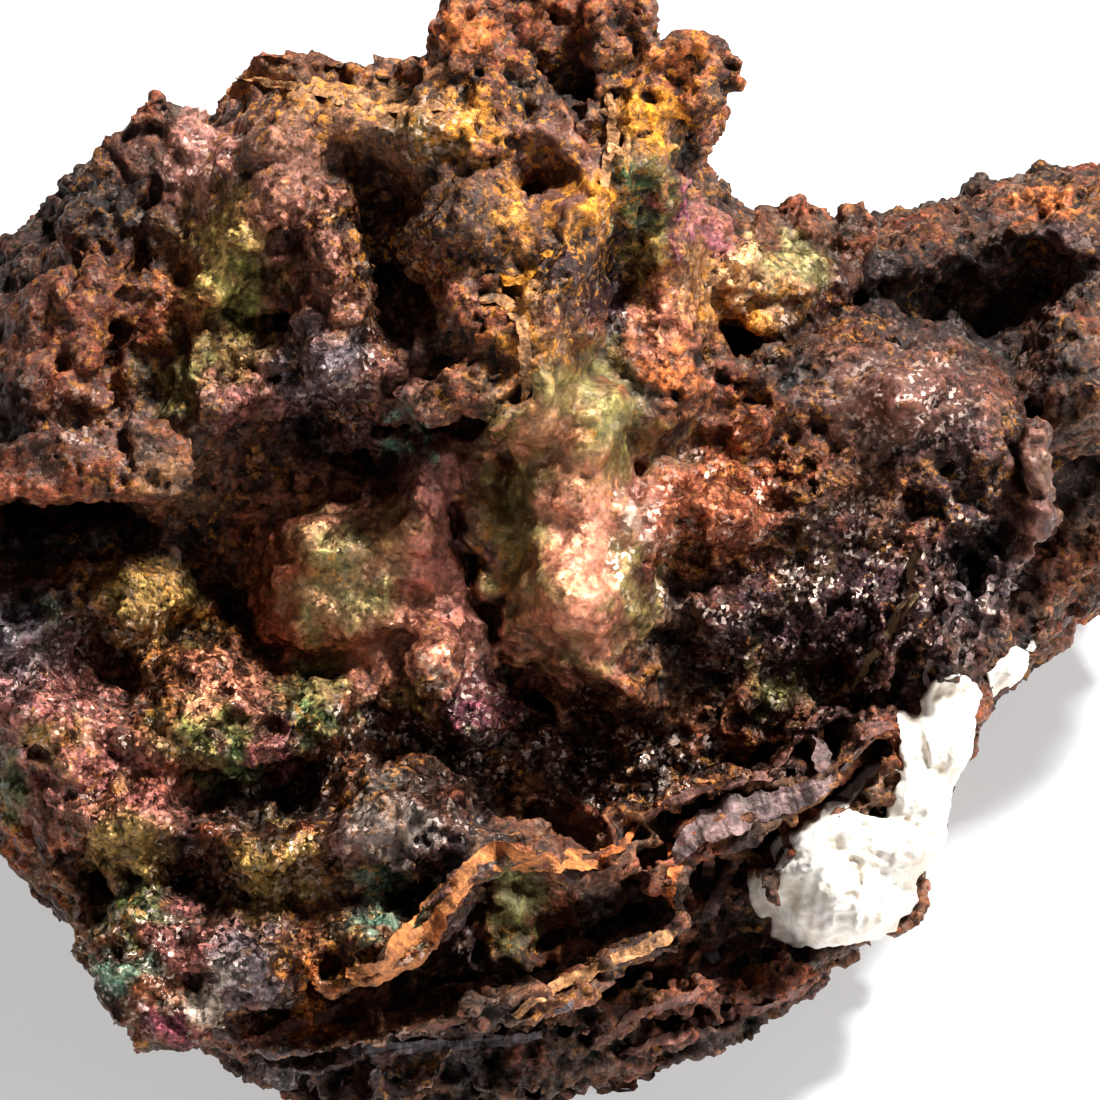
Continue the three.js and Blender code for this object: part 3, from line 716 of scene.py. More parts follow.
def ore_notes(points, hollow):
    """Colour, gloss and ochre dust of the skin, by place, with painted shade in hollows and painted highlight
    on ridges.
    """
    spots = points + TINT_WANDER * (strays(points, 3.2) + 0.45 * strays(points, 1.2))
    facing = ramp(points[:, 2], *TINT_BACK)
    tint = to_linear(UMBER) + np.zeros((len(points), 3))
    for colour, scale, low, high, most in DRIFTS:
        share = most * ramp(clouds(points + 7 * scale, scale, 4), low, high)[:, None]
        tint = (1 - share) * tint + share * to_linear(colour)
    patchy = 0.7 + 0.5 * ramp(clouds(points + 17, 1.7, 3), -0.4, 0.4)
    for colour, across, up, half_width, half_height, turn, strength in TINTS:
        share = patch(spots, across, up, half_width, half_height, turn, 0.6)
        share = np.clip(strength * TINT_STRENGTH * facing * share * patchy, 0, 1)[:, None]
        tint = (1 - share) * tint + share * to_linear(colour)
    calm = calm_at(points)
    # painted shade darkens the tint in hollows, less where the skin is calm, and painted highlight lightens it
    # on ridges
    tint *= (0.92 - (PAINTED_HOLLOW_SHADE - 0.5 * calm) * ramp(hollow, -0.05, 0.65))[:, None]
    tint *= (1 + PAINTED_RIDGE_LIGHT * ramp(-hollow, 0.1, 0.9))[:, None]
    gloss = np.full(len(points), PLAIN_GLOSS)
    for amount, *place in GLOSSES:
        gloss += (amount - gloss) * patch(spots, *place, edge=0.4) * facing
    gloss = np.clip(gloss + 0.25 * clouds(points, 2.6, 3), 0, 1)
    dust = ramp(clouds(points - 60, 8, 3), 0.05, 0.5) * 0.5
    for across, up, half_width, half_height, strength in DUSTY:
        dust = np.maximum(dust, strength * patch(spots, across, up, half_width, half_height, 0, 0.5))
    dust *= 1 - 0.8 * ramp(hollow, 0.2, 1.0)
    sparkle = np.full(len(points), PLAIN_SPARKLE)
    for *place, strength in SPARKLING:
        sparkle = np.maximum(sparkle, strength * (patch(spots, *place, edge=0.5) * facing))
    sparkle *= 1 - 0.4 * ramp(hollow, 0.3, 1.0)
    return {"calm": calm, "sparkle": sparkle, "tint": tint, "gloss": gloss, "dust": dust}


class Nodes:
    """A short way to write a material's nodes."""

    def __init__(self, name):
        self.material = bpy.data.materials.new(name)
        self.material.use_nodes = True
        self.tree = self.material.node_tree
        self.shader = self.tree.nodes["Principled BSDF"]
        self.place = self.tree.nodes.new("ShaderNodeTexCoord").outputs["Object"]

    def add(self, kind, out=0, settings=None, **inputs):
        node = self.tree.nodes.new("ShaderNode" + kind)
        for name, value in (settings or {}).items():
            setattr(node, name, value)
        for name, value in inputs.items():
            # i0 and i1 are a node's first and second socket, whatever it calls them
            self.set(node.inputs[int(name[1:]) if name[1:].isdigit() else name.replace("_", " ")], value)
        return node.outputs[out]

    def set(self, socket, value):
        if isinstance(value, bpy.types.NodeSocket):
            self.tree.links.new(value, socket)
        else:
            socket.default_value = value

    def value(self, name):
        return self.add("Attribute", "Fac", {"attribute_name": name})

    def colour(self, name):
        return self.add("Attribute", "Color", {"attribute_name": name})

    def noise(self, size_mm, detail=4, **more):
        return self.add("TexNoise", "Fac", Vector=self.place, Scale=1 / MM / size_mm, Detail=detail, **more)

    def grain_colour(self, size_mm):
        return self.add("TexVoronoi", "Color", Vector=self.place, Scale=1 / MM / size_mm)

    def channels(self, colour):
        node = self.tree.nodes.new("ShaderNodeSeparateColor")
        self.set(node.inputs[0], colour)
        return node.outputs

    def maths(self, operation, a, b, clamp=False):
        return self.add("Math", 0, {"operation": operation, "use_clamp": clamp}, i0=a, i1=b)

    def vector(self, operation, a, **more):
        return self.add("VectorMath", 0, {"operation": operation}, i0=a, **more)

    def span(self, value, low, high, to_low=0.0, to_high=1.0):
        node = self.tree.nodes.new("ShaderNodeMapRange")
        node.interpolation_type = "SMOOTHSTEP"
        sockets = "Value", "From Min", "From Max", "To Min", "To Max"
        for name, x in zip(sockets, (value, low, high, to_low, to_high)):
            self.set(node.inputs[name], x)
        return node.outputs["Result"]

    def mix(self, share, a, b, blend="MIX"):
        node = self.tree.nodes.new("ShaderNodeMix")
        node.data_type = "RGBA"
        node.blend_type = blend
        for index, x in ((0, share), (6, a), (7, b)):
            self.set(node.inputs[index], x)
        return node.outputs[2]

    def bump(self, height, distance_mm, strength):
        return self.add("Bump", "Normal", Height=height, Distance=distance_mm * MM, Strength=strength)

    def finish(self, **sockets):
        for name, value in sockets.items():
            self.set(self.shader.inputs[name.replace("_", " ")], value)
        return self.material


def paint(colour):
    return (*to_linear(colour), 1)


# Colour and brightening of the painted glints on the ore's grains.
PAINTED_GLINT_COLOUR = (250, 226, 210)
PAINTED_GLINT_BOOST = (3, 3, 3, 1)
ORE_CRUMB_MM = 0.9
ORE_GRAIN_MM = 0.42
GLINT_CLUMP_MM = 2.4
DUST_SPECK_MM = 1.2
ORE_BUMP_MM = 0.4


def ore_material():
    """Metallic brown ore: every grain has its own shade and its own slant, so that some flash, and some carry a
    pale painted glint.
    """
    n = Nodes("goethite_ore")
    gloss, calm = n.value("gloss"), n.value("calm")
    fine = n.noise(ORE_CRUMB_MM, 5, Roughness=0.72)
    grain = n.grain_colour(ORE_GRAIN_MM)
    shade, pick, polish = n.channels(grain)
    crumbs = n.span(fine, 0.34, 0.66, n.span(calm, 0, 1, 0.3, 0.65), n.span(calm, 0, 1, 1.8, 1.35))
    specks = n.span(shade, 0.0, 1.0, n.span(calm, 0, 1, 0.6, 0.85), n.span(calm, 0, 1, 1.4, 1.15))
    colour = n.mix(1.0, n.colour("tint"), n.maths("MULTIPLY", crumbs, specks), "MULTIPLY")
    # painted glints: some grains, in clumps, are painted pale and bright, standing in for flashes of light
    clump = n.maths("MULTIPLY", n.span(n.noise(GLINT_CLUMP_MM, 3), 0.42, 0.6), n.value("sparkle"))
    painted_glint = n.maths("MULTIPLY", n.span(pick, 0.68, 0.76), clump, clamp=True)
    light = n.mix(0.7, n.mix(1.0, n.colour("tint"), PAINTED_GLINT_BOOST, "MULTIPLY"), paint(PAINTED_GLINT_COLOUR))
    colour = n.mix(n.maths("MULTIPLY", painted_glint, 0.95), colour, light)
    # yellow ochre dust caught on the crumbs
    speck = n.span(n.noise(DUST_SPECK_MM, 4, Roughness=0.75), 0.54, 0.6)
    dust = n.maths("MULTIPLY", speck, n.value("dust"), clamp=True)
    colour = n.mix(n.maths("MULTIPLY", dust, 0.9), colour, paint(OCHRE))
    # grains with painted glints are also smoother than the rest, and dust is dull and no metal
    roughness = n.maths("ADD", n.span(gloss, 0.0, 1.0, 0.62, 0.3), n.span(polish, 0.2, 0.8, -0.12, 0.12))
    roughness = n.maths("SUBTRACT", roughness, n.maths("MULTIPLY", painted_glint, 0.15))
    roughness = n.maths("MAXIMUM", roughness, n.maths("MULTIPLY", dust, 0.85), clamp=True)
    metal = n.maths("MULTIPLY", n.span(gloss, 0.1, 0.8, 0.2, 0.9), n.maths("SUBTRACT", 1.0, dust), clamp=True)
    # each grain leans its own way, most where the ore is glossy and rough
    lean = n.maths("MULTIPLY", n.span(gloss, 0.1, 0.9, 0.3, 0.9), n.span(calm, 0, 1, 1, 0.35))
    slant = n.vector("SCALE", n.vector("SUBTRACT", grain, i1=(0.5, 0.5, 0.5)), Scale=lean)
    bumpy = n.bump(fine, ORE_BUMP_MM, n.span(calm, 0, 1, 1.0, 0.4))
    normal = n.vector("NORMALIZE", n.vector("ADD", slant, i1=bumpy))
    return n.finish(Base_Color=colour, Roughness=roughness, Metallic=metal, Normal=normal)


# Small, middling and wide hollows: rounds of smoothing that fill them, and how much each counts.
HOLLOW_SIZES = [(4, 0.55), (18, 0.6), (80, 0.35)]

hollow = sum(share * hollows_of(rock.data, rounds) for rounds, share in HOLLOW_SIZES)
for name, values in ore_notes(to_face(read_points(rock.data)), hollow).items():
    store(rock.data, name, values)
lighten = rock.modifiers.new("lighten", "DECIMATE")
lighten.ratio = ROCK_TRIANGLES / triangle_count(rock.data)
apply_modifiers(rock)
drop_specks(rock.data)
rock.data.materials.append(ore_material())
rock.data.shade_smooth()
skin = BVHTree.FromObject(rock, bpy.context.evaluated_depsgraph_get())

# The stone is one; it is kept as closed meshes that meet on flat cuts: name, lowest and highest corner.
OPEN = math.inf
BACK_CUT = -30
ROCK_PARTS = [
    ("rock_face_left", (-OPEN, -OPEN, BACK_CUT), (-18, OPEN, OPEN)),
    ("rock_face_middle", (-18, -OPEN, BACK_CUT), (14, OPEN, OPEN)),
    ("rock_face_right", (14, -OPEN, BACK_CUT), (OPEN, OPEN, OPEN)),
    ("rock_back_left", (-OPEN, -OPEN, -OPEN), (0, OPEN, BACK_CUT)),
    ("rock_back_right", (0, -OPEN, -OPEN), (OPEN, OPEN, BACK_CUT)),
]
BLOCK_CUTS = 39
CUT_REACH = 0.002


def block_of(low, high):
    """A box that stands square to the face, with small faces so that the cuts get small faces too."""
    low, high = np.maximum(low, rock_box[0]), np.minimum(high, rock_box[1])
    box = bmesh.new()
    bmesh.ops.create_cube(box, size=1)
    bmesh.ops.subdivide_edges(box, edges=box.edges, cuts=BLOCK_CUTS, use_grid_fill=True)
    mesh = bpy.data.meshes.new("block")
    box.to_mesh(mesh)
    box.free()
    write_points(mesh, to_row((low + high) / 2 + read_points(mesh) * (high - low)))
    block = bpy.data.objects.new("block", mesh)
    bpy.context.scene.collection.objects.link(block)
    return block


def on_sides(points, low, high):
    """Which corners lie on the flat cuts."""
    points = to_face(points)
    return np.minimum(np.abs(points - low), np.abs(points - high)).min(1) < CUT_REACH


def mend_notes(mesh, lost):
    """The corners that a cut makes take their colour from the skin beside them."""
    a, b = edges_of(mesh).T
    a, b = np.concatenate([a, b]), np.concatenate([b, a])
    good = lost[a] & ~lost[b]
    a, b = a[good], b[good]
    count = np.maximum(np.bincount(a, minlength=len(lost)), 1)
    for name in ("gloss", "dust", "sparkle", "calm"):
        values = np.empty(len(lost), np.float32)
        mesh.attributes[name].data.foreach_get("value", values)
        values[lost] = (np.bincount(a, values[b], len(lost)) / count)[lost]
        mesh.attributes[name].data.foreach_set("value", values)
    colours = np.empty(len(lost) * 4, np.float32)
    mesh.attributes["tint"].data.foreach_get("color", colours)
    colours = colours.reshape(-1, 4)
    for channel in range(3):
        colours[lost, channel] = (np.bincount(a, colours[b, channel], len(lost)) / count)[lost]
    mesh.attributes["tint"].data.foreach_set("color", colours.ravel())


def keep_slopes(mesh, lost):
    """The corners that a cut makes are shaded as the whole skin was there, so that no joint shows."""
    slopes = read_points(mesh, "vertex_normals", "vector")
    for i in np.nonzero(lost)[0].tolist():
        place, _, face, _ = skin.find_nearest(mesh.vertices[i].co)
        corners = rock.data.polygons[face].vertices
        weights = interpolate.poly_3d_calc([rock.data.vertices[c].co for c in corners], place)
        slopes[i] = sum((rock.data.vertices[c].normal * w for c, w in zip(corners, weights)), Vector())
    slopes /= np.maximum(np.linalg.norm(slopes, axis=1), 1e-9)[:, None]
    mesh.normals_split_custom_set_from_vertices(slopes.tolist())


rock_points = to_face(read_points(rock.data))
rock_box = rock_points.min(0) - 1, rock_points.max(0) + 1
for name, low, high in ROCK_PARTS:
    piece = bpy.data.objects.new(name, rock.data.copy())
    bpy.context.scene.collection.objects.link(piece)
    block = block_of(low, high)
    share = piece.modifiers.new("share", "BOOLEAN")
    share.operation, share.solver, share.object = "INTERSECT", "MANIFOLD", block
    apply_modifiers(piece)
    bpy.data.objects.remove(block)
    lost = on_sides(read_points(piece.data), low, high)
    mend_notes(piece.data, lost)
    keep_slopes(piece.data, lost)
    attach(piece, "root")
    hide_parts("goethite")
bpy.data.objects.remove(rock)

# ---- The layer edges ----
# Where the ore grew in thin beds, their broken edges stand out of the rock as crooked plates about a
# millimetre thick: mauve-grey on the right, rusty orange and tan lower down. They are rooted in the rock.

# Widths along it, how far it stands out, colour, and the line it follows across and up the face.
EDGES = [
    ((0.7, 1.0, 0.9, 0.9), 1.0, MAUVE,
     [(8.5, -28.1), (9.7, -26.3), (11.9, -24.8), (14.8, -23.7), (18.5, -23.1), (21.4, -22.5), (23.5, -21.9)]),
    ((1.1, 0.8, 0.6), 1.1, MAUVE, [(22.5, -21.7), (24.1, -19.7), (25.2, -17.9), (26.5, -16.7), (27.9, -16.4)]),
    ((1.2, 2.4, 3.7, 3.4, 2.6, 1.4), 1.0, ASH,
     [(12.3, -31.4), (13.4, -28.8), (16.3, -27), (19.9, -25.7), (23.5, -25), (26.5, -23.9), (28.5, -22.8)]),
    ((1.2, 1.8, 1.6), 1.1, ASH, [(26.5, -18.3), (27.2, -20.5), (27.7, -23)]),
    ((1.4, 2.0, 1.2), 1.0, MAUVE, [(27.2, -19), (28.6, -18.3), (30.5, -17.9), (32.3, -17.9), (35, -17.6)]),
    ((0.8, 0.6), 1.0, ASH, [(29, -22.3), (30.1, -20.8), (31.9, -19.5), (33, -18.6)]),
    ((1.1, 0.7), 1.0, ORANGE, [(5, -29.9), (6.8, -29.5), (8.1, -28.5), (8.3, -27.4)]),
    ((1.4, 1.0), 0.9, ORANGE, [(11.9, -29.2), (12.6, -31.4), (11.5, -33.5), (12.3, -35.7)]),
    ((1.7, 1.2), 0.9, MAUVE, [(15.5, -29.9), (16.3, -31.7), (15.9, -34.3)]),
    ((1.6, 1.8, 0.8), 0.9, ASH, [(15.5, -37.9), (16.6, -36.1), (17.7, -33.9), (18.6, -32.6)]),
    ((0.9, 1.3), 0.9, PLUM, [(19, -37.4), (19.6, -35), (20.6, -33.2)]),
    ((0.5, 0.5), 0.8, TAN, [(17, -30.8), (19.6, -30.9), (22.1, -31.2)]),
    ((1.8, 1.0), 0.7, SLATE, [(15.8, -40), (16.6, -41.2), (18.1, -43)]),
    ((1.8, 2.8, 4.0, 3.2, 2.5, 2.3, 2.5, 2.4, 1.8, 1.4), 0.7, RIDGE,
     [(-19.9, -41.2), (-17.2, -41.4), (-14.3, -39.7), (-12.1, -36.8), (-10.6, -34.3), (-8.5, -32.1),
      (-6.3, -30.3), (-4.5, -29.5), (-2.3, -30.4), (-0.1, -30.8), (3.2, -30.1), (5.7, -31.2)]),
    ((1.4, 2.2, 1.6), 0.7, MAUVE, [(4.6, -31.8), (6.8, -31.7), (9, -32.3), (11.5, -33.2)]),
    ((0.8, 1.0, 1.1, 1.2, 1.4, 2.0), 0.9, TAN,
     [(-5.2, -47), (-2.3, -44.8), (0.6, -42.8), (3.9, -41.5), (7.5, -39.7), (11.2, -38.3), (12.6, -37.5)]),
    ((0.8, 1.2, 1.4), 0.8, (138, 108, 84), [(4.2, -44.6), (7, -42.4), (10.4, -40.9)]),
    ((1.0, 0.8), 0.9, SLATE, [(0.6, -45.6), (3.2, -43.6)]),
    ((1.0, 1.2, 0.9), 0.9, MAUVE, [(4.2, -50.2), (7.4, -47), (12, -45.4), (18, -43.6)]),
    ((0.8, 1.2, 1.0), 1.0, MAUVE, [(7, -51), (11, -49.4), (17.4, -47.4), (27, -45)]),
    ((0.9, 1.5, 1.1), 0.9, MAUVE, [(-32.6, -50.6), (-27, -47.8), (-21, -46.2), (-15, -46.6), (-9, -47.2)]),
    ((0.8, 1.2, 0.9), 0.9, SLATE, [(-28, -51.5), (-22, -50), (-14, -49.6), (-6, -49.4), (1, -48)]),
    ((0.6, 0.9, 0.8, 0.6), 0.9, (128, 104, 74),
     [(37.4, 1), (36.2, -1.4), (36.6, -3.8), (35.2, -6.2), (33.8, -8.6), (32.6, -10.6), (31.8, -11.4),
      (30.6, -14.2)]),
    ((0.6, 0.8, 0.5), 0.6, ASH, [(41.4, -4.6), (39.4, -9), (37.8, -12.2), (38.6, -15)]),
    ((0.5, 0.7, 0.8, 0.5), 0.4, ASH,
     [(48.6, 1), (47.4, -2.2), (45, -4.6), (43.4, -8.6), (42.2, -12.2), (41.4, -17)]),
    ((0.7, 1.4, 1.0), 0.7, TAN, [(-31.8, 48.2), (-27, 47), (-21, 45), (-15, 43.8), (-9, 43.8)]),
    ((1.0, 1.2, 0.8), 0.8, TAN, [(5.4, 46), (6.4, 43), (6.2, 39.5), (5.2, 37), (5.6, 34)]),
    ((1.0, 1.2, 1.6, 1.0, 0.7), 0.8, TAN,
     [(-7.4, 24.4), (-5, 24.8), (-3, 23), (-2.4, 20), (-2.6, 16.4), (-2.2, 13.6)]),
    ((0.8, 1.4), 0.7, OCHRE, [(-5.6, 27.4), (-3.4, 26.4), (-1.4, 27.6), (0.4, 30)]),
]
# In millimetres: the steps along an edge, how deep it is rooted in the rock, how far it wanders off its line,
# and the width of the streaks along its flat top. Its ends taper off over a few steps.
EDGE_STEP = 0.3
EDGE_ROOT = 2.6
EDGE_WANDER = 0.35
EDGE_LANE = 0.36
TAPER_STEPS = 5
# A plumb line is dropped on the face from this far out of it.
PLUMB_FROM = 70.0
PLUMB_LINE = Vector(-(face_to_row.to_3x3() @ Vector((0, 0, 1))))


def heights_on(tree, across, up):
    """How far out of the face a surface lies at each place, with gaps where there is none."""
    starts = to_row(np.stack([across, up, np.full(len(across), PLUMB_FROM)], 1)).tolist()
    reaches = [tree.ray_cast(Vector(start), PLUMB_LINE)[3] for start in starts]
    return np.array([np.nan if reach is None else PLUMB_FROM - reach / MM for reach in reaches])


def skin_height(across, up):
    """How far out of the face the rock's skin lies at each place of a run, carried on over any gap."""
    heights = heights_on(skin, across, up)
    good = ~np.isnan(heights)
    return np.interp(np.arange(len(heights)), np.nonzero(good)[0], heights[good])


def eased(values, reach):
    """Values along a line, averaged over a few steps to either side."""
    padded = np.concatenate([np.full(reach, values[0]), values, np.full(reach, values[-1])])
    return np.convolve(padded, np.ones(2 * reach + 1) / (2 * reach + 1), "valid")


def plate_edge(widths, rise, line):
    """One crooked plate, flat on top and broken at its sides: rings of corners, and each corner's brightness,
    with painted shade down the sides.
    """
    middle = walked(line, EDGE_STEP)
    along = np.gradient(middle, axis=0)
    along /= np.hypot(*along.T)[:, None]
    across = np.stack([-along[:, 1], along[:, 0]], 1)
    spot = np.column_stack([middle, np.zeros(len(middle))])
    middle = middle + across * (EDGE_WANDER * clouds(spot, 2.5, 3))[:, None]
    run = np.arange(len(middle))
    taper = np.clip(np.minimum(run, run[::-1]) / TAPER_STEPS, 0.25, 1)
    width = np.interp(run / run[-1], np.linspace(0, 1, len(widths)), widths)
    width *= (0.9 + 0.35 * clouds(spot + 20, 1.6, 3)) * (0.4 + 0.6 * taper)
    sides = [eased(skin_height(*(middle + across * (side * width)[:, None]).T), 5) for side in (-0.5, 0, 0.5)]
    lanes = max(4, round(max(widths) / EDGE_LANE))
    # the section: up one side, under a thin lip, over the streaked top and down the other side, given as
    # the share of the width to the side, the drop below the top in millimetres, and its brightness, low where
    # shade is painted
    half = [(-0.36, -EDGE_ROOT, 0.06), (-0.38, -0.95, 0.12), (-0.5, -0.5, 0.4)]
    top = [(side, 0.0, 1.0) for side in np.linspace(-0.5, 0.5, lanes)]
    section = half + top + [(-side, drop, painted_brightness) for side, drop, painted_brightness in half[::-1]]
    rings = []
    for k, (side, drop, painted_brightness) in enumerate(section):
        rag = (0.17 if abs(side) == 0.5 else 0.05) * clouds(spot + 31 * k, 0.8, 2)
        place = middle + across * (side * width + rag)[:, None]
        streak = np.column_stack([run * EDGE_STEP / 3, np.full(len(run), 3.1 * k), np.zeros(len(run))])
        level = sides[1] + 0.7 * side * (sides[2] - sides[0]) + rise * taper - 0.3 + drop
        level = level + (0.16 * clouds(streak, 1, 2) + 0.22 * clouds(spot + 9, 1.4, 3)) * (drop > -0.9)
        rings.append(np.column_stack([place, level]))
    return np.stack(rings, 1), np.array([painted_brightness for _, _, painted_brightness in section])


def ring_faces(steps, around, first):
    """Faces of a closed run of rings, with its two ends."""
    i, k = np.meshgrid(np.arange(steps - 1), np.arange(around), indexing="ij")
    a, b = i * around + k, i * around + (k + 1) % around
    sides = np.stack([a, a + around, b + around, b], -1).reshape(-1, 4) + first
    start, last = range(first, first + around), range(first + (steps - 1) * around, first + steps * around)
    return sides.tolist() + [list(start)[::-1], list(last)]


BROKEN_SPECK_MM = 0.7
BROKEN_DUST_MM = 1.6
BROKEN_GRAIN_MM = 0.5


def edge_material():
    """Matte weathered ore on the broken edges, dusty on top, its tint darker down the sides with painted shade.
    """
    n = Nodes("layer_edge_ore")
    speck = n.span(n.noise(BROKEN_SPECK_MM, 4, Roughness=0.7), 0.3, 0.7, 0.5, 1.6)
    colour = n.mix(1.0, n.colour("tint"), speck, "MULTIPLY")
    dust = n.span(n.noise(BROKEN_DUST_MM, 4, Roughness=0.7), 0.58, 0.68)
    colour = n.mix(n.maths("MULTIPLY", dust, 0.35), colour, paint(ORANGE))
    grain = n.noise(BROKEN_GRAIN_MM, 4)
    return n.finish(Base_Color=colour, Roughness=n.span(grain, 0.3, 0.7, 0.5, 0.8), Metallic=0.1,
                    Normal=n.bump(grain, 0.3, 0.9))


corners, faces, tints = [], [], []
for widths, rise, colour, line in EDGES:
    rings, painted_brightness = plate_edge(widths, rise, line)
    steps, around = rings.shape[:2]
    faces += ring_faces(steps, around, sum(len(c) for c in corners))
    corners.append(rings.reshape(-1, 3))
    mottle = np.clip(0.9 + 0.9 * clouds(corners[-1], 1.6, 4), 0.25, 1.6)
    # painted shade: the tint is darkened down each plate's sides and under its lip
    tints.append(to_linear(colour) * (np.tile(painted_brightness, steps) * mottle)[:, None])
mesh = bpy.data.meshes.new("layer_edges")
mesh.from_pydata(to_row(np.vstack(corners)).tolist(), [], faces)
mesh.update()
store(mesh, "tint", np.vstack(tints))
layer_edges = bpy.data.objects.new("layer_edges", mesh)
bpy.context.scene.collection.objects.link(layer_edges)
mesh.materials.append(edge_material())
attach(layer_edges, "root")
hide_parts("goethite")

# ---- The white putty ----
# Soft white putty, spread over the rock's lower right edge with a knife in overlapping strokes, and a small
# dab higher up. It dried off-white, with tan lines where the strokes fold over each other.

# In millimetres: the grid the strokes are laid out on and its margin, the steps along a stroke, the width of
# the skin's faces, how far the putty goes down into the rock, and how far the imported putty's front may be cut
# back.
PUTTY_GRID = 0.22
GRID_MARGIN = 4
STROKE_STEP = 0.5
PUTTY_VOXEL = 0.27
PUTTY_ROOT = 2.5
PUTTY_CUT_BACK = 1.6
EASING_ROUNDS = 26
# Thickness given to a place that no stroke reaches.
BARE = -9.0
# Half width, thickness, and the way the knife went.
STROKES = [
    (3.3, 1.7, [(40.8, -15.6), (39.4, -20), (37.6, -25), (36.4, -30)]),
    (1.7, 2.0, [(43, -19), (41.4, -22.4), (39.6, -26), (38.2, -30.2)]),
    (1.5, 1.9, [(36.2, -17.6), (37.2, -21.6), (36.6, -26), (35.4, -29)]),
    (0.8, 1.0, [(29.4, -25.4), (31.6, -23.4), (34.2, -21.6)]),
    (2.2, 1.6, [(24.6, -30.6), (28, -28.6), (32, -28.6), (36.6, -31.2)]),
    (2.8, 1.9, [(22.6, -34.6), (27, -33.4), (31, -33.2), (35.2, -34.8)]),
    (2.3, 1.5, [(24.8, -38.2), (29, -38), (33.6, -37.2)]),
    (1.9, 2.2, [(28.6, -27), (27.6, -31), (26.6, -35), (26.4, -38.4)]),
    (1.6, 2.1, [(33.6, -29.4), (32.4, -33), (31.8, -37.6)]),
]
DAB_STROKES = [
    (1.7, 1.6, [(46, -13.4), (47.2, -12.2), (48.6, -11.4)]),
    (0.8, 1.2, [(47.4, -15), (48.6, -13.8)]),
    (0.7, 1.0, [(50, -10.8), (50.8, -9.8)]),
]


def putty_height(u, v, strokes):
    """Thickness of the putty at each place, and the drag lines along its strokes."""
    spot = np.stack([u, v, np.zeros(len(u))], 1)
    wander = 0.7 * clouds(spot, 2.6, 3) + 0.5 * clouds(spot + 60, 0.9, 3)
    best = np.full(len(u), BARE)
    for k, (half_width, thickness, way) in enumerate(strokes):
        way = walked(way, STROKE_STEP)
        near = np.hypot(u[:, None] - way[:, 0], v[:, None] - way[:, 1])
        at = near.argmin(1)
        along = np.gradient(way, axis=0)
        side = (u - way[at, 0]) * along[at, 1] - (v - way[at, 1]) * along[at, 0]
        side /= np.hypot(*along[at].T)
        reach = (near.min(1) + wander * 0.5) / half_width
        drag = 0.22 * np.sin(side * 5.5 + 2 * wander + k) + 0.12 * np.sin(side * 13 + 3 * wander)
        rolled = 0.35 * ramp(np.abs(side) / half_width, 0.55, 0.85)
        body = thickness * (0.4 + 0.1 * k % 0.5) + drag + rolled
        best = np.maximum(best, np.where(reach < 1, body, BARE))
    return best


def putty_ground(node, u, v):
    """What the strokes lie on: the rock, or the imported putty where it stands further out, well eased."""
    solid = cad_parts[node].data
    tree = BVHTree.FromPolygons([c.co for c in solid.vertices], [tuple(p.vertices) for p in solid.polygons])
    ground = skin_height(u.ravel(), v.ravel()).reshape(u.shape)
    body = heights_on(tree, u.ravel(), v.ravel()).reshape(u.shape)
    ground = np.where(np.isnan(body), ground, np.maximum(ground, body - PUTTY_CUT_BACK))
    for _ in range(EASING_ROUNDS):
        wide = np.pad(ground, 1, mode="edge")
        ground = (wide[:-2, 1:-1] + wide[2:, 1:-1] + wide[1:-1, :-2] + wide[1:-1, 2:]) / 4
    return ground


def closed_sheet(u, v, top, bottom, inside):
    """Corners and faces of a sheet over part of a grid: its top, its underside and the wall around it."""
    index = -np.ones(u.shape, int)
    index[inside] = np.arange(inside.sum())
    quad = np.stack([index[:-1, :-1], index[:-1, 1:], index[1:, 1:], index[1:, :-1]], -1).reshape(-1, 4)
    quad = quad[(quad >= 0).all(1)]
    count = inside.sum()
    a, b = quad.ravel(), np.roll(quad, -1, axis=1).ravel()
    rim = ~np.isin(a * count + b, b * count + a)
    walls = np.column_stack([b[rim], a[rim], a[rim] + count, b[rim] + count])
    points = np.vstack([np.stack([u, v, side], -1)[inside] for side in (top, bottom)])
    return points, np.vstack([quad, quad[:, ::-1] + count, walls])


PUTTY_WHITE, PUTTY_CREAM = (247, 240, 230), (236, 222, 203)
PUTTY_TAN, PUTTY_GRIT = (190, 152, 118), (110, 70, 52)
# How far red, green and blue light goes into it, in metres.
PUTTY_GLOW = (0.0008, 0.0006, 0.0005)


def putty_material():
    """Dried putty: off-white and matte, cream and tan down the creases, with grit picked up off the rock."""
    n = Nodes("white_putty")
    patchy = n.noise(3, 4)
    colour = n.mix(n.span(patchy, 0.4, 0.7), paint(PUTTY_WHITE), paint(PUTTY_CREAM))
    colour = n.mix(n.maths("MULTIPLY", n.value("crease"), 0.75), colour, paint(PUTTY_TAN))
    grit = n.maths("MULTIPLY", n.span(n.noise(0.9, 3), 0.68, 0.72), n.span(patchy, 0.5, 0.6), clamp=True)
    colour = n.mix(n.maths("MULTIPLY", grit, 0.8), colour, paint(PUTTY_GRIT))
    fine = n.noise(0.5, 4)
    return n.finish(Base_Color=colour, Roughness=n.span(fine, 0.3, 0.7, 0.55, 0.75),
                    Normal=n.bump(fine, 0.2, 0.5), Subsurface_Weight=0.1, Subsurface_Radius=PUTTY_GLOW)


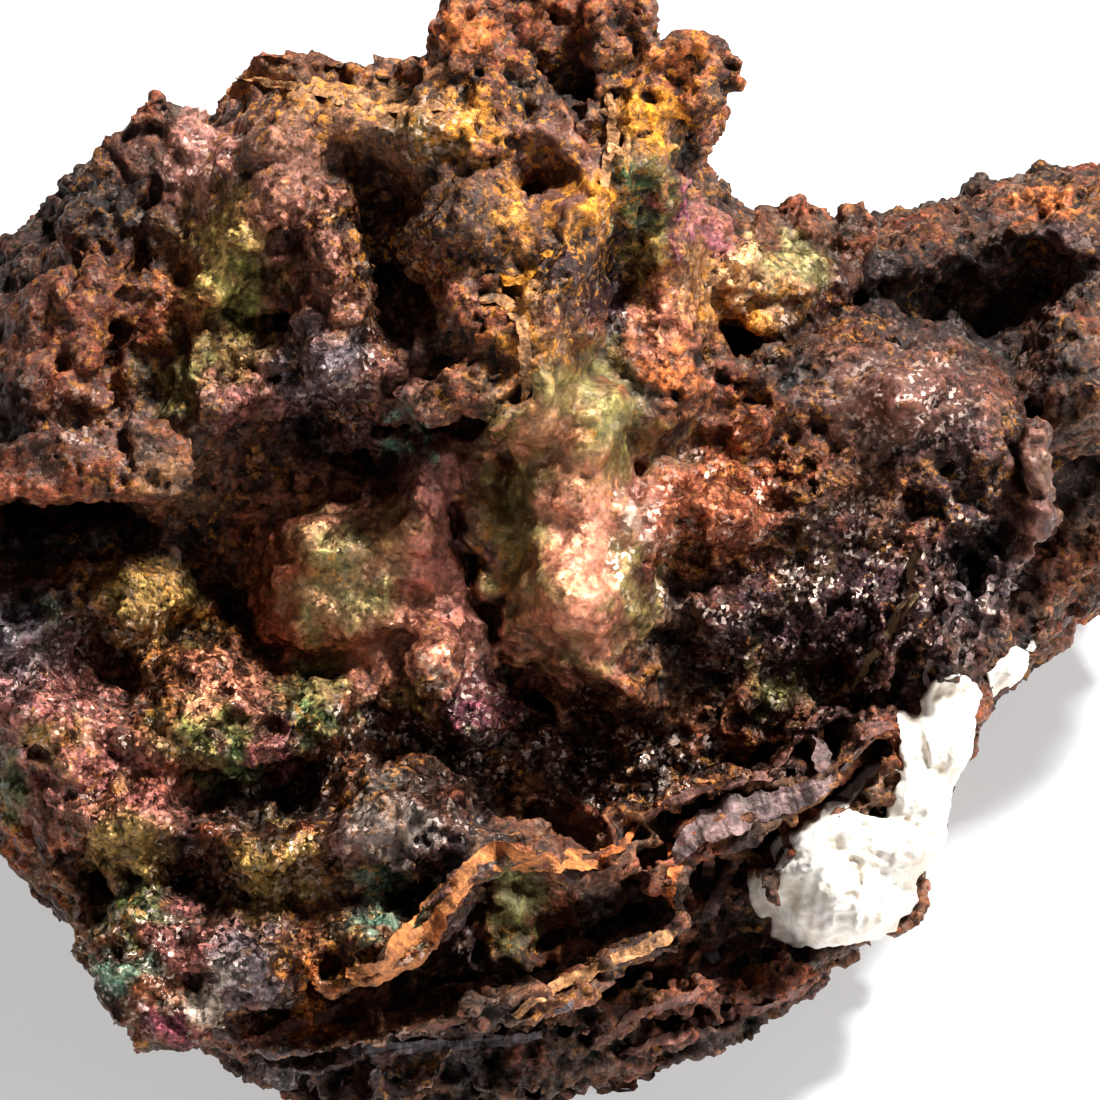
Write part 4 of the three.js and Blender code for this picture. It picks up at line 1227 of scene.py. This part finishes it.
putty = putty_material()
for name, node, strokes in (("white_smear", "putty_smear", STROKES), ("white_dab", "putty_dab", DAB_STROKES)):
    ways = np.vstack([np.array(way, float) for _, _, way in strokes])
    low, high = ways.min(0) - GRID_MARGIN, ways.max(0) + GRID_MARGIN
    u, v = np.meshgrid(*[np.arange(low[i], high[i], PUTTY_GRID) for i in (0, 1)])
    thickness = putty_height(u.ravel(), v.ravel(), strokes).reshape(u.shape)
    inside = thickness > BARE / 2
    ground = putty_ground(node, u, v)
    points, faces = closed_sheet(u, v, ground + np.where(inside, thickness, 0), ground - PUTTY_ROOT, inside)
    mesh = bpy.data.meshes.new(name)
    mesh.from_pydata(to_row(points).tolist(), [], faces.tolist())
    sheet = bpy.data.objects.new(name + "_sheet", mesh)
    bpy.context.scene.collection.objects.link(sheet)
    piece = remeshed(sheet, name, PUTTY_VOXEL)
    bpy.data.objects.remove(sheet)
    drop_specks(piece.data)
    points = smoothed(read_points(piece.data), edges_of(piece.data), 2, 0.4)
    write_points(piece.data, points)
    points = to_face(points)
    dents = 0.14 * clouds(points, 0.9, 3) + 0.2 * clouds(points, 2.6, 2)
    write_points(piece.data, along_normals(piece.data, dents))
    store(piece.data, "crease", ramp(hollows_of(piece.data, 6), 0.02, 0.3))
    piece.data.shade_smooth()
    piece.data.materials.append(putty)
    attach(piece, "root")
    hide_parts(node)

# ---- The table and the lamps ----
# The rock lies on a plain white table that glows a little, like the top of a light box. A soft lamp hangs
# overhead to the right and a little behind it, and a wide, weak one stands low at its right.

# Sizes and places here are in metres, and the lamps' power in watts.
TABLE_SIZE = 6
TABLE_GREY = (0.5, 0.5, 0.5, 1)
TABLE_ROUGHNESS = 0.6
TABLE_GLOW = 0.48
WHITE = (1, 1, 1, 1)
LAMP_AIM = Vector((0, 0, 0.04))
# Name, place, size and power.
LAMPS = [
    ("key_lamp", (0.34, 0.14, 0.8), 0.14, 17),
    ("side_lamp", (0.85, -0.3, 0.3), 0.5, 3),
]
ROOM_LIGHT = 0.12

bpy.ops.mesh.primitive_plane_add(size=TABLE_SIZE)
table = bpy.context.object
table.name = "table"
white = bpy.data.materials.new("white_table")
white.use_nodes = True
surface = white.node_tree.nodes["Principled BSDF"].inputs
surface["Base Color"].default_value = TABLE_GREY
surface["Roughness"].default_value = TABLE_ROUGHNESS
surface["Emission Color"].default_value = WHITE
surface["Emission Strength"].default_value = TABLE_GLOW
table.data.materials.append(white)

for name, place, size, power in LAMPS:
    light = bpy.data.lights.new(name, "AREA")
    light.size = size
    light.energy = power
    lamp = bpy.data.objects.new(name, light)
    bpy.context.scene.collection.objects.link(lamp)
    lamp.location = place
    lamp.rotation_euler = (LAMP_AIM - Vector(place)).to_track_quat("-Z", "Y").to_euler()
world = bpy.data.worlds.new("world")
bpy.context.scene.world = world
world.use_nodes = True
room = world.node_tree.nodes["Background"]
room.inputs["Color"].default_value = WHITE
room.inputs["Strength"].default_value = ROOM_LIGHT
bpy.context.scene.view_settings.view_transform = "Standard"
